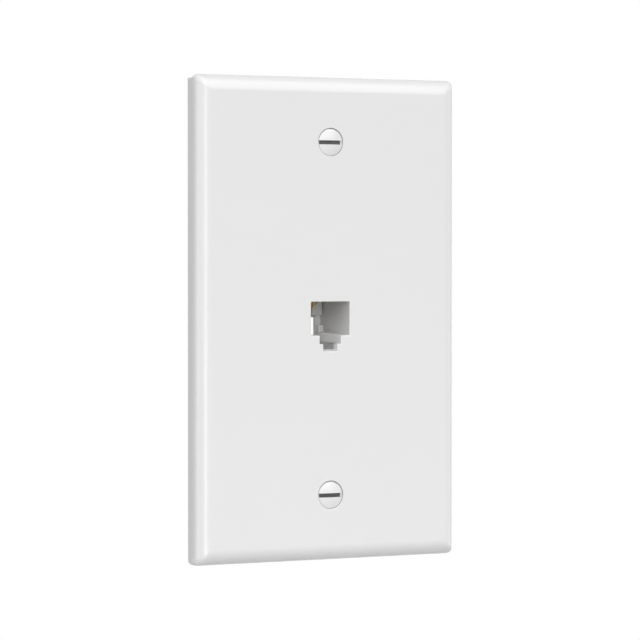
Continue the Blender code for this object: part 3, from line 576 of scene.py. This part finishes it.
# Contact carrier. A small comb moulded in matt plastic. It slides into the hood from behind, its wall
# snaps over the sill of the doorway, and its slots keep the contact wires apart.
COMB_EDGE = 0.06 * MM
COMB_FLAT_ANGLE = math.radians(0.5)
COMB_SHARP_ANGLE = math.radians(60)
carrier_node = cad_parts["contact_carrier"]
shape = bmesh.new()
shape.from_mesh(carrier_node.data)
bmesh.ops.remove_doubles(shape, verts=shape.verts, dist=TOUCHING)
bmesh.ops.dissolve_limit(shape, angle_limit=COMB_FLAT_ANGLE, verts=shape.verts, edges=shape.edges)
sharp = [edge for edge in shape.edges if edge.is_manifold and edge.calc_face_angle() > COMB_SHARP_ANGLE]
bmesh.ops.bevel(
    shape,
    geom=sharp,
    offset=COMB_EDGE,
    segments=2,
    profile=0.5,
    affect="EDGES",
    material=-1,
)
bmesh.ops.recalc_face_normals(shape, faces=shape.faces)
comb = moulded_object("contact_comb", shape)
smooth(comb, angle=40)
comb_plastic = moulded_plastic(
    "comb_plastic",
    colours=((0.70, 0.70, 0.68), (0.74, 0.74, 0.72)),
    gloss=(0.42, 0.52),
    cloud_size=6 * MM,
    grain_size=0.08 * MM,
    grain_height=0.001 * MM,
)
comb.data.materials.append(comb_plastic)
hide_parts("contact_carrier")
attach(comb, "root")

# Contact wires. Four spring-bronze wires, gold plated. Each is formed round the nose of the comb and
# slopes back and down into the cavity, where it presses on the plug, and fans out at the rear.
WIRE_RADIUS = 0.2 * MM
WIRE_PITCH = 1.02 * MM
WIRE_REAR_PITCH = 2.3 * MM
WIRE_BEND_RADIUS = 0.8 * MM
WIRE_BEND_STEPS = 24
WIRE_SIDES = 20
WIRE_SLOPE = math.radians(27)
WIRE_TOP_Z = 5.83 * MM
WIRE_BEND_Y = 3.3 * MM
WIRE_FAN_FRONT_Y = 6.3 * MM
WIRE_FAN_REAR_Y = 9.9 * MM
WIRE_TIP_Y = 7.6 * MM
COMB_REAR_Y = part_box("contact_carrier")[1].y
WIRE_TAIL_Y = COMB_REAR_Y + 1.7 * MM


def tube(name, points, radius, sides):
    """A round tube along a line of points, as a mesh with closed ends."""
    curve = bpy.data.curves.new(name, "CURVE")
    curve.dimensions = "3D"
    curve.bevel_depth = radius
    curve.bevel_resolution = sides // 2 - 2
    curve.use_fill_caps = True
    line = curve.splines.new("POLY")
    line.points.add(len(points) - 1)
    for spot, point in zip(line.points, points):
        spot.co = (*point, 1.0)
    rod = bpy.data.objects.new(name, curve)
    bpy.context.scene.collection.objects.link(rod)
    surface = bpy.data.meshes.new_from_object(rod.evaluated_get(bpy.context.evaluated_depsgraph_get()))
    bpy.data.objects.remove(rod)
    shape = bmesh.new()
    shape.from_mesh(surface)
    bmesh.ops.remove_doubles(shape, verts=shape.verts, dist=TOUCHING)
    bmesh.ops.recalc_face_normals(shape, faces=shape.faces)
    return moulded_object(name, shape)


def wire_points(front_x, rear_x):
    """The wire's line: from its tail over the comb, round the nose and down its sloping spring leg."""
    points = [
        Vector((rear_x, WIRE_TAIL_Y, WIRE_TOP_Z)),
        Vector((rear_x, WIRE_FAN_REAR_Y, WIRE_TOP_Z)),
        Vector((front_x, WIRE_FAN_FRONT_Y, WIRE_TOP_Z)),
    ]
    for step in range(WIRE_BEND_STEPS + 1):
        angle = math.pi / 2 + (math.pi - WIRE_SLOPE) * step / WIRE_BEND_STEPS
        y = WIRE_BEND_Y + WIRE_BEND_RADIUS * math.cos(angle)
        z = WIRE_TOP_Z - WIRE_BEND_RADIUS * (1 - math.sin(angle))
        points.append(Vector((front_x, y, z)))
    leg = points[-1]
    points.append(Vector((front_x, WIRE_TIP_Y, leg.z - (WIRE_TIP_Y - leg.y) * math.tan(WIRE_SLOPE))))
    return points


def plated_metal(name, colours, gloss, spot_size, scratch_size, scratch_height):
    """Plated or stamped metal: a colour and a gloss that drift a little, over a fine grain."""
    material = moulded_plastic(name, colours, gloss, spot_size, scratch_size, scratch_height)
    material.node_tree.nodes["Principled BSDF"].inputs["Metallic"].default_value = 1.0
    return material


gold_plating = plated_metal(
    "gold_plating",
    colours=((0.80, 0.50, 0.17), (0.92, 0.64, 0.27)),
    gloss=(0.16, 0.26),
    spot_size=2 * MM,
    scratch_size=0.1 * MM,
    scratch_height=0.001 * MM,
)
for number in range(4):
    across = number - 1.5
    wire = tube(
        f"gold_contact_wire_{number + 1}",
        wire_points(across * WIRE_PITCH, across * WIRE_REAR_PITCH),
        WIRE_RADIUS,
        WIRE_SIDES,
    )
    wire.data.materials.append(gold_plating)
    smooth(wire)
    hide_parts(f"contact_wire_{number + 1}")
    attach(wire, "root")

# Leads. Four short stranded leads in coloured insulation join the wires to the terminals. They are
# fixed at both ends: on the tail of a contact wire, and crimped in the barrel of a spade lug.
LEAD_RADIUS = 0.62 * MM
LEAD_SIDES = 24
CORE_RADIUS = 0.32 * MM
CORE_SIDES = 16
CORE_REACH = 0.4 * MM
LEAD_START_Y = COMB_REAR_Y + CLEARANCE
LUG_REACH = 7.6 * MM
BARREL_LENGTH = 3.4 * MM
BARREL_AXIS_Y = 5.05 * MM
LEAD_STEPS = 10
# Points in millimetres, for the right side: the way out counts from the lead's start behind the comb,
# and the way in from the middle of the lug's barrel.
UPPER_WAY_OUT = [(0, 2.2, 0.2), (-0.3, 4.1, 1.8), (-0.7, 4.3, 4.4)]
UPPER_WAY_IN = [(-6.1, 9.3, -0.8), (-6.4, 6.3, 0.1), (-6.1, 3.4, 0.2), (-5.0, 1.2, 0.1), (-3.3, 0.1, 0)]
LOWER_WAY_OUT = [(0, 2.1, -0.3), (0.2, 3.7, -2.0), (0.5, 4.0, -4.6), (0.8, 3.8, -8.6), (1.1, 2.9, -12.6)]
LOWER_WAY_IN = [(-5.9, 8.2, 2.0), (-5.6, 5.2, 0.3), (-5.2, 2.5, -0.2), (-4.2, 0.7, -0.1), (-2.8, 0, 0)]


def lead_points(side, end, rear_x, way_out, way_in):
    """A smooth line through the lead's points, from the comb to the middle of the lug's barrel."""
    start = Vector((rear_x, LEAD_START_Y, WIRE_TOP_Z))
    finish = Vector((side * (TERMINAL_X - LUG_REACH), BARREL_AXIS_Y, end * TERMINAL_Z))
    route = [start]
    route += [start + MM * Vector((side * x, y, z)) for x, y, z in way_out]
    route += [finish + MM * Vector((side * x, y, z)) for x, y, z in way_in]
    route += [finish - Vector((side * BARREL_LENGTH / 2, 0, 0)), finish]
    ends = [2 * route[0] - route[1]] + route + [2 * route[-1] - route[-2]]
    points = []
    for before, low, high, after in zip(ends, ends[1:], ends[2:], ends[3:]):
        for step in range(LEAD_STEPS):
            t = step / LEAD_STEPS
            bend = 2 * low + (high - before) * t
            bend += (2 * before - 5 * low + 4 * high - after) * t ** 2
            bend += (3 * low - before - 3 * high + after) * t ** 3
            points.append(bend / 2)
    return points + [finish]


def insulation(name, colour):
    """Extruded insulation: a satin colour that drifts a little, over a faint grain."""
    dark = tuple(part * 0.85 for part in colour)
    return moulded_plastic(name, (dark, colour), (0.34, 0.46), 5 * MM, 0.3 * MM, 0.004 * MM)


copper = plated_metal(
    "copper_strands",
    colours=((0.72, 0.36, 0.20), (0.84, 0.48, 0.28)),
    gloss=(0.3, 0.45),
    spot_size=1 * MM,
    scratch_size=0.12 * MM,
    scratch_height=0.004 * MM,
)
# Side, end, place across the comb in wire pitches, way out, way in and colour.
LEADS = {
    "black": (-1, 1, -1.5, UPPER_WAY_OUT, UPPER_WAY_IN, (0.022, 0.022, 0.024)),
    "red": (-1, -1, -0.5, LOWER_WAY_OUT, LOWER_WAY_IN, (0.52, 0.025, 0.02)),
    "green": (1, -1, 0.5, LOWER_WAY_OUT, LOWER_WAY_IN, (0.02, 0.25, 0.06)),
    "yellow": (1, 1, 1.5, UPPER_WAY_OUT, UPPER_WAY_IN, (0.80, 0.54, 0.03)),
}
for colour_name, (side, end, across, way_out, way_in, colour) in LEADS.items():
    points = lead_points(side, end, across * WIRE_REAR_PITCH, way_out, way_in)
    lead = tube(f"insulated_lead_{colour_name}", points, LEAD_RADIUS, LEAD_SIDES)
    lead.data.materials.append(insulation(f"{colour_name}_insulation", colour))
    smooth(lead)
    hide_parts(f"lead_{colour_name}")
    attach(lead, "root")
    core_end = points[-1] + Vector((side * (BARREL_LENGTH / 2 + CORE_REACH), 0, 0))
    core = tube(f"copper_core_{colour_name}", [points[-1], core_end], CORE_RADIUS, CORE_SIDES)
    core.data.materials.append(copper)
    smooth(core)
    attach(core, "root")

# Spade lugs. Each is stamped from brass strip, with a fork that slips under the washer of a terminal
# and a barrel that is rolled round the end of the lead and crimped.
LUG_Y = 3.7 * MM
LUG_RADIUS = 3.2 * MM
LUG_THICKNESS = 0.7 * MM
LUG_NECK_HALF_WIDTH = 1.1 * MM
LUG_FORK_HALF_WIDTH = 1.8 * MM
LUG_EDGE = 0.08 * MM
LUG_HOLE_STEPS = 60
TURN_STEPS = 72
BARREL_BORE_RADIUS = 0.66 * MM
BARREL_RADIUS = 1.35 * MM
BARREL_LIP = 0.1 * MM
BARREL_STEPS = 40
LIP_SHARE = 0.08
CRIMP_LENGTH = 0.9 * MM
CRIMP_SQUEEZE = 0.1 * MM
CRIMP_STEPS = 8


def barrel_form(side, x, z):
    """The lug's barrel: a tube along X with two crimp marks round it."""
    half = BARREL_LENGTH / 2
    # Places along the barrel, and the share of the squeeze that each takes.
    outer = [(-half, LIP_SHARE), (-half + BARREL_LIP, 0)]
    for crimp in (-0.5, 0.5):
        for step in range(CRIMP_STEPS + 1):
            along = crimp * half + (step / CRIMP_STEPS - 0.5) * CRIMP_LENGTH
            outer.append((along, 0.5 - 0.5 * math.cos(2 * math.pi * step / CRIMP_STEPS)))
    shape = bmesh.new()
    line = []
    for along, depth in outer + [(half - BARREL_LIP, 0), (half, LIP_SHARE)]:
        line.append(shape.verts.new((BARREL_RADIUS - depth * CRIMP_SQUEEZE, 0, along)))
    for along in (half, -half):
        line.append(shape.verts.new((BARREL_BORE_RADIUS, 0, along)))
    edges = [shape.edges.new(pair) for pair in zip(line, line[1:] + line[:1])]
    bmesh.ops.spin(
        shape,
        geom=line + edges,
        cent=(0, 0, 0),
        axis=(0, 0, 1),
        angle=2 * math.pi,
        steps=BARREL_STEPS,
        use_merge=True,
    )
    bmesh.ops.recalc_face_normals(shape, faces=shape.faces)
    to_barrel = Matrix.Translation((x - side * LUG_REACH, BARREL_AXIS_Y, z))
    lay = to_barrel @ Matrix.Rotation(math.pi / 2, 4, "Y")
    bmesh.ops.transform(shape, matrix=lay, verts=shape.verts)
    return moulded_object("barrel", shape)


def spade_lug(name, side, x, z):
    """One lug: a disc with a fork open away from the jack, a neck and the barrel."""
    radius, edge, thick = LUG_RADIUS, LUG_EDGE, LUG_THICKNESS
    disc = [(0, 0), (radius - edge, 0), (radius, edge), (radius, thick - edge), (radius - edge, thick)]
    disc.append((0, thick))
    lug = turned_form(name, disc, TURN_STEPS, (x, LUG_Y, z), toward_front=False)
    neck_start = x - side * (radius - 2 * edge - LUG_NECK_HALF_WIDTH)
    low, high = sorted((neck_start, x - side * (LUG_REACH - BARREL_LENGTH / 2)))
    half = LUG_NECK_HALF_WIDTH
    neck = (LUG_Y, low, high, z - half, z + half, edge)
    combine(lug, "UNION", [drawn_form("neck", [neck, (LUG_Y + thick, *neck[1:])]), barrel_form(side, x, z)])
    half = LUG_FORK_HALF_WIDTH
    low, high = sorted((x, x + side * (radius + BEYOND)))
    fork = (LUG_Y - BEYOND, low, high, z - half, z + half, edge)
    hole = [(0, -BEYOND), (half, -BEYOND), (half, thick + BEYOND), (0, thick + BEYOND)]
    wide, long = BARREL_BORE_RADIUS, BARREL_LENGTH
    rod = [(0, -long), (wide, -long), (wide, long), (0, long)]
    bore = turned_form("bore", rod, BARREL_STEPS, (0, 0, 0))
    to_barrel = Matrix.Translation((x - side * LUG_REACH, BARREL_AXIS_Y, z))
    bore.data.transform(to_barrel @ Matrix.Rotation(math.pi / 2, 4, "Z"))
    cuts = [drawn_form("fork", [fork, (LUG_Y + thick + BEYOND, *fork[1:])]), bore]
    cuts.append(turned_form("lug_hole", hole, LUG_HOLE_STEPS, (x, LUG_Y, z), toward_front=False))
    combine(lug, "DIFFERENCE", cuts)
    smooth(lug)
    return lug


brass = plated_metal(
    "stamped_brass",
    colours=((0.66, 0.46, 0.20), (0.80, 0.60, 0.30)),
    gloss=(0.24, 0.38),
    spot_size=3 * MM,
    scratch_size=0.12 * MM,
    scratch_height=0.003 * MM,
)
TERMINALS = {"upper_left": (-1, 1), "upper_right": (1, 1), "lower_left": (-1, -1), "lower_right": (1, -1)}
for corner, (side, end) in TERMINALS.items():
    lug = spade_lug(f"brass_lug_{corner}", side, side * TERMINAL_X, end * TERMINAL_Z)
    lug.data.materials.append(brass)
    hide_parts(f"spade_lug_{corner}")
    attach(lug, "root")

# Terminal washers. Dished spring washers in zinc-plated steel, stamped, which press the lug down
# evenly when the screw is tightened.
WASHER_Y = 4.7 * MM
WASHER_HOLE_RADIUS = 1.8 * MM
WASHER_RADIUS = 3.6 * MM
WASHER_THICKNESS = 0.7 * MM
WASHER_DISH = 0.3 * MM
WASHER_EDGE = 0.1 * MM


def washer(name, x, z):
    """One dished washer with rounded edges."""
    hole, rim, edge = WASHER_HOLE_RADIUS, WASHER_RADIUS, WASHER_EDGE
    thick, dish = WASHER_THICKNESS, WASHER_DISH
    flat = (hole + rim) / 2
    profile = [
        (hole + edge, dish),
        (flat, dish),
        (rim - edge, APART),
        (rim, edge),
        (rim, thick - edge),
        (rim - edge, thick),
        (flat, dish + thick),
        (hole + edge, dish + thick),
        (hole, dish + thick - edge),
        (hole, dish + edge),
        (hole + edge, dish),
    ]
    piece = turned_form(name, profile, TURN_STEPS, (x, WASHER_Y, z), toward_front=False)
    smooth(piece, angle=25)
    return piece


zinc_steel = plated_metal(
    "zinc_plated_steel",
    colours=((0.56, 0.57, 0.58), (0.68, 0.68, 0.66)),
    gloss=(0.26, 0.42),
    spot_size=3 * MM,
    scratch_size=0.15 * MM,
    scratch_height=0.003 * MM,
)
for corner, (side, end) in TERMINALS.items():
    ring = washer(f"zinc_washer_{corner}", side * TERMINAL_X, end * TERMINAL_Z)
    ring.data.materials.append(zinc_steel)
    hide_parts(f"terminal_washer_{corner}")
    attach(ring, "root")

# Terminal screws. Slotted pan-head machine screws in zinc-plated steel, threaded into the blind holes
# of the posts. Each clamps a washer and a lug.
HEAD_Y = 6.0 * MM
HEAD_RADIUS = 3.0 * MM
HEAD_HEIGHT = 2.0 * MM
HEAD_FLAT_RADIUS = 2.1 * MM
HEAD_SIDE = 1.1 * MM
HEAD_EDGE = 0.12 * MM
HEAD_ARC_STEPS = 8
TERMINAL_SHANK_RADIUS = 1.5 * MM
TERMINAL_ROOT_RADIUS = 1.18 * MM
TERMINAL_PITCH = 0.5 * MM
TERMINAL_SHANK_LENGTH = 7.7 * MM
TERMINAL_SLOT_WIDTH = 0.9 * MM
TERMINAL_SLOT_DEPTH = 1.0 * MM
TERMINAL_TURN = math.radians(25)
THREAD_STEPS = 28
THREAD_SEAM = 0.01 * MM


def screw_thread(root, crest, pitch, low, high, tip):
    """A rolled thread between two heights on Z, as a closed rod with a tapered tip at its low end."""
    shape = bmesh.new()
    # Radius, and height as a share of the pitch, through one turn of the thread.
    outline = [(root, 0.0), (root, 0.2), (crest, 0.5), (crest, 0.65), (root, 1.0)]
    start = low - 1.5 * pitch
    line = [shape.verts.new((radius, 0, start + share * pitch)) for radius, share in outline]
    edges = [shape.edges.new(pair) for pair in zip(line, line[1:])]
    turns = math.ceil((high - low) / pitch) + 3
    bmesh.ops.spin(
        shape,
        geom=line + edges,
        cent=(0, 0, 0),
        axis=(0, 0, 1),
        dvec=(0, 0, pitch / THREAD_STEPS),
        angle=2 * math.pi * turns,
        steps=THREAD_STEPS * turns,
    )
    bmesh.ops.remove_doubles(shape, verts=shape.verts, dist=THREAD_SEAM)
    for height, side in ((low, -1), (high, 1)):
        bmesh.ops.bisect_plane(
            shape,
            geom=shape.verts[:] + shape.edges[:] + shape.faces[:],
            plane_co=(0, 0, height),
            plane_no=(0, 0, side),
            clear_outer=True,
        )
    for point in shape.verts:
        limit = root - tip / 2 + (point.co.z - low) * (crest - root + tip / 2) / tip
        reach = point.co.xy.length
        if reach > limit:
            point.co.xy *= limit / reach
    bmesh.ops.holes_fill(shape, edges=[edge for edge in shape.edges if edge.is_boundary])
    bmesh.ops.recalc_face_normals(shape, faces=shape.faces)
    return shape


def terminal_screw(name, x, z, turn):
    """One terminal screw: a rounded head with a slot, and its thread."""
    profile = [(0, HEAD_HEIGHT)]
    for step in range(HEAD_ARC_STEPS + 1):
        angle = math.pi / 2 * step / HEAD_ARC_STEPS
        radius = HEAD_FLAT_RADIUS + (HEAD_RADIUS - HEAD_FLAT_RADIUS) * math.sin(angle)
        profile.append((radius, HEAD_HEIGHT - (HEAD_HEIGHT - HEAD_SIDE) * (1 - math.cos(angle))))
    neck = (TERMINAL_SHANK_RADIUS + TERMINAL_ROOT_RADIUS) / 2
    profile += [(HEAD_RADIUS, HEAD_EDGE), (HEAD_RADIUS - HEAD_EDGE, 0), (neck, 0)]
    profile += [(neck, -TERMINAL_PITCH), (0, -TERMINAL_PITCH)]
    screw = turned_form(name, profile, TURN_STEPS, (0, 0, 0))
    thread = screw_thread(
        TERMINAL_ROOT_RADIUS,
        TERMINAL_SHANK_RADIUS,
        TERMINAL_PITCH,
        -TERMINAL_SHANK_LENGTH,
        -TERMINAL_PITCH / 2,
        TERMINAL_PITCH,
    )
    stand(thread, Vector((0, 0, 0)), True)
    combine(screw, "UNION", [moulded_object("thread", thread)])
    half, long = TERMINAL_SLOT_WIDTH / 2, HEAD_RADIUS + BEYOND
    slot = (-HEAD_HEIGHT + TERMINAL_SLOT_DEPTH, -long, long, -half, half, HEAD_EDGE)
    combine(screw, "DIFFERENCE", [drawn_form("slot", [slot, (-HEAD_HEIGHT - BEYOND, *slot[1:])])])
    to_rear = Matrix.Rotation(math.pi, 4, "X") @ Matrix.Rotation(turn, 4, "Y")
    screw.data.transform(Matrix.Translation((x, HEAD_Y, z)) @ to_rear)
    smooth(screw, angle=28)
    return screw


for corner, (side, end) in TERMINALS.items():
    turn = TERMINAL_TURN * side * (2 + end)
    screw = terminal_screw(f"zinc_screw_{corner}", side * TERMINAL_X, end * TERMINAL_Z, turn)
    screw.data.materials.append(zinc_steel)
    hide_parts(f"terminal_screw_{corner}")
    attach(screw, "root")

# Plate screws. Two slotted oval-head machine screws that clamp the plate to the wall box. They are
# turned and rolled steel, zinc plated, and their heads are painted to match the plate.
SCREW_HEAD_RADIUS = 3.15 * MM
SCREW_CROWN = 0.49 * MM
SCREW_CONE_DEPTH = 1.61 * MM
SCREW_SHANK_RADIUS = 1.75 * MM
SCREW_ROOT_RADIUS = 1.36 * MM
SCREW_PITCH = 0.794 * MM
SCREW_LENGTH = 22.0 * MM
SCREW_TIP = 0.8 * MM
SCREW_NECK = 1.0 * MM
SCREW_EDGE = 0.1 * MM
SCREW_SLOT_WIDTH = 0.95 * MM
SCREW_SLOT_DEPTH = 0.45 * MM
DOME_STEPS = 16
SCREW_STEPS = 96


def plate_screw(name, place):
    """One plate screw: a domed countersunk head with a slot, a short neck and the thread."""
    dome = (SCREW_HEAD_RADIUS ** 2 + SCREW_CROWN ** 2) / (2 * SCREW_CROWN)
    reach = math.asin((SCREW_HEAD_RADIUS - SCREW_EDGE) / dome)
    profile = []
    for step in range(DOME_STEPS + 1):
        angle = reach * step / DOME_STEPS
        profile.append((dome * math.sin(angle), SCREW_CROWN - dome * (1 - math.cos(angle))))
    profile.append((SCREW_HEAD_RADIUS - SCREW_EDGE * 0.3, 0))
    profile.append((SCREW_HEAD_RADIUS, -SCREW_EDGE * 0.6))
    profile.append((SCREW_SHANK_RADIUS, -SCREW_CONE_DEPTH))
    neck_radius = (SCREW_SHANK_RADIUS + SCREW_ROOT_RADIUS) / 2
    neck_end = -SCREW_CONE_DEPTH - SCREW_NECK
    profile.append((neck_radius, -SCREW_CONE_DEPTH - SCREW_EDGE))
    profile.append((neck_radius, neck_end))
    profile.append((0, neck_end))
    screw = turned_form(name, profile, SCREW_STEPS, place)
    thread = screw_thread(
        SCREW_ROOT_RADIUS,
        SCREW_SHANK_RADIUS,
        SCREW_PITCH,
        -SCREW_LENGTH,
        neck_end + SCREW_PITCH / 3,
        SCREW_TIP,
    )
    stand(thread, place, True)
    combine(screw, "UNION", [moulded_object("thread", thread)])
    x, y, z = place
    half, long = SCREW_SLOT_WIDTH / 2, SCREW_HEAD_RADIUS + BEYOND
    slot = (y + SCREW_SLOT_DEPTH, x - long, x + long, z - half, z + half, SCREW_EDGE)
    combine(screw, "DIFFERENCE", [drawn_form("slot", [slot, (y - BEYOND, *slot[1:])])])
    smooth(screw, angle=28)
    return screw


# The heads are stoved enamel, an even colour with the faint orange peel of paint. Their slots
# take a near-black steel colour, which is painted shade in the slots.
screw_enamel = moulded_plastic(
    "screw_enamel",
    colours=((0.80, 0.80, 0.80), (0.816, 0.816, 0.816)),
    gloss=(0.2, 0.26),
    cloud_size=4 * MM,
    grain_size=0.4 * MM,
    grain_height=0.002 * MM,
)
slot_painted_shade_steel = plated_metal(
    "slot_steel_painted_shade",
    colours=((0.08, 0.08, 0.08), (0.12, 0.12, 0.12)),
    gloss=(0.40, 0.55),
    spot_size=1.5 * MM,
    scratch_size=0.1 * MM,
    scratch_height=0.004 * MM,
)
for name, end in (("plate_screw_upper", 1), ("plate_screw_lower", -1)):
    place = Vector((0, FACE_Y, end * SCREW_SPACING / 2))
    screw = plate_screw("painted_" + name, place)
    for finish in (screw_enamel, zinc_steel, slot_painted_shade_steel):
        screw.data.materials.append(finish)
    # Faces inside the slot take the near-black steel as painted shade; faces down the shank take the zinc.
    for face in screw.data.polygons:
        middle = face.center - place
        in_slot = abs(middle.z) < SCREW_SLOT_WIDTH / 2 + TOUCHING
        under_dome = face.normal.y > -0.9 or middle.y > SCREW_SLOT_DEPTH / 2
        if in_slot and under_dome and middle.y < SCREW_SLOT_DEPTH + SCREW_EDGE / 2:
            face.material_index = 2
        elif middle.y > SCREW_CONE_DEPTH + SCREW_EDGE / 2:
            face.material_index = 1
    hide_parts(name)
    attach(screw, "root")

# Floor. A pale round surface well below the socket. It takes the socket's soft shadow and fades into
# the white all round.
FLOOR_Z = -0.26
FLOOR_RADIUS = 0.55
FLOOR_FADE_START = FLOOR_RADIUS * 0.35
FLOOR_FADE_END = FLOOR_RADIUS * 0.98
shape = bmesh.new()
bmesh.ops.create_circle(shape, cap_ends=True, segments=96, radius=FLOOR_RADIUS)
bmesh.ops.translate(shape, vec=(0, 0, FLOOR_Z), verts=shape.verts)
floor = moulded_object("pale_floor", shape)
floor_material = bpy.data.materials.new("pale_floor")
floor_material.use_nodes = True
nodes, links = floor_material.node_tree.nodes, floor_material.node_tree.links
shader = nodes["Principled BSDF"]
shader.inputs["Base Color"].default_value = (0.86, 0.86, 0.86, 1)
shader.inputs["Roughness"].default_value = 0.7
place = nodes.new("ShaderNodeTexCoord")
spread = nodes.new("ShaderNodeVectorMath")
spread.operation = "LENGTH"
fade = nodes.new("ShaderNodeMapRange")
fade.interpolation_type = "SMOOTHSTEP"
fade.inputs["From Min"].default_value = math.hypot(FLOOR_FADE_START, FLOOR_Z)
fade.inputs["From Max"].default_value = math.hypot(FLOOR_FADE_END, FLOOR_Z)
clear = nodes.new("ShaderNodeBsdfTransparent")
blend = nodes.new("ShaderNodeMixShader")
links.new(place.outputs["Object"], spread.inputs[0])
links.new(spread.outputs["Value"], fade.inputs["Value"])
links.new(fade.outputs["Result"], blend.inputs["Fac"])
links.new(shader.outputs["BSDF"], blend.inputs[1])
links.new(clear.outputs["BSDF"], blend.inputs[2])
links.new(blend.outputs["Shader"], nodes["Material Output"].inputs["Surface"])
floor.data.materials.append(floor_material)

# Surroundings. Seen directly, in gloss or through a clear piece, everything round the socket is plain
# white. They give no other light, so that the lamps alone shape the shadows.
world = bpy.data.worlds.new("white_surroundings")
bpy.context.scene.world = world
world.use_nodes = True
nodes, links = world.node_tree.nodes, world.node_tree.links
white = nodes["Background"]
white.inputs["Color"].default_value = (1, 1, 1, 1)
path = nodes.new("ShaderNodeLightPath")
direct = nodes.new("ShaderNodeMath")
direct.operation = "MAXIMUM"
either = nodes.new("ShaderNodeMath")
either.operation = "MAXIMUM"
links.new(path.outputs["Is Camera Ray"], direct.inputs[0])
links.new(path.outputs["Is Transmission Ray"], direct.inputs[1])
links.new(direct.outputs["Value"], either.inputs[0])
links.new(path.outputs["Is Glossy Ray"], either.inputs[1])
links.new(either.outputs["Value"], white.inputs["Strength"])

# Lamps. A big softbox over the front lights the face and gives the bright band along the top edge.
# A strip and two softboxes at the left draw the highlight down the left edge, one at the right keeps
# the right edge as light as the face, and one behind keeps the back readable.
LAMP_DISTANCE = 4.0
# Degrees to the left of straight in front and upward, width, height and brightness.
LAMPS = {
    "overhead_softbox": (-10, 42, 4.5, 5.0, 2.31),
    "left_strip": (22, 5, 1.3, 3.8, 2.9),
    "left_softbox": (55, 20, 2.6, 3.0, 1.12),
    "far_left_softbox": (80, 10, 2.0, 3.0, 1.8),
    "right_softbox": (-85, 5, 2.0, 3.8, 1.1),
    "rear_softbox": (180, 20, 3.2, 2.8, 2.6),
}
for name, (to_left, upward, width, height, brightness) in LAMPS.items():
    left, up = math.radians(to_left), math.radians(upward)
    toward = Vector((-math.sin(left) * math.cos(up), -math.cos(left) * math.cos(up), math.sin(up)))
    light = bpy.data.lights.new(name, "AREA")
    light.shape = "RECTANGLE"
    light.size, light.size_y = width, height
    light.energy = brightness * math.pi * width * height
    lamp = bpy.data.objects.new(name, light)
    lamp.location = toward * LAMP_DISTANCE
    lamp.rotation_euler = (-toward).to_track_quat("-Z", "Y").to_euler()
    bpy.context.scene.collection.objects.link(lamp)

# Camera. It stands to the left of the socket and a little above its middle, as in the photograph.
CAMERA_PLACE = (-0.37358, -0.68313, 0.01562)
CAMERA_TURN = math.radians(28.684)
CAMERA_DIP = math.radians(1.174)
view = bpy.data.cameras.new("camera")
view.lens = 184.34
view.sensor_width = 36
view.clip_start = 0.02
camera = bpy.data.objects.new("camera", view)
camera.location = CAMERA_PLACE
camera.rotation_euler = (math.pi / 2 - CAMERA_DIP, 0, -CAMERA_TURN)
bpy.context.scene.collection.objects.link(camera)
bpy.context.scene.camera = camera
bpy.context.scene.view_settings.view_transform = "Standard"

bpy.context.view_layer.update()
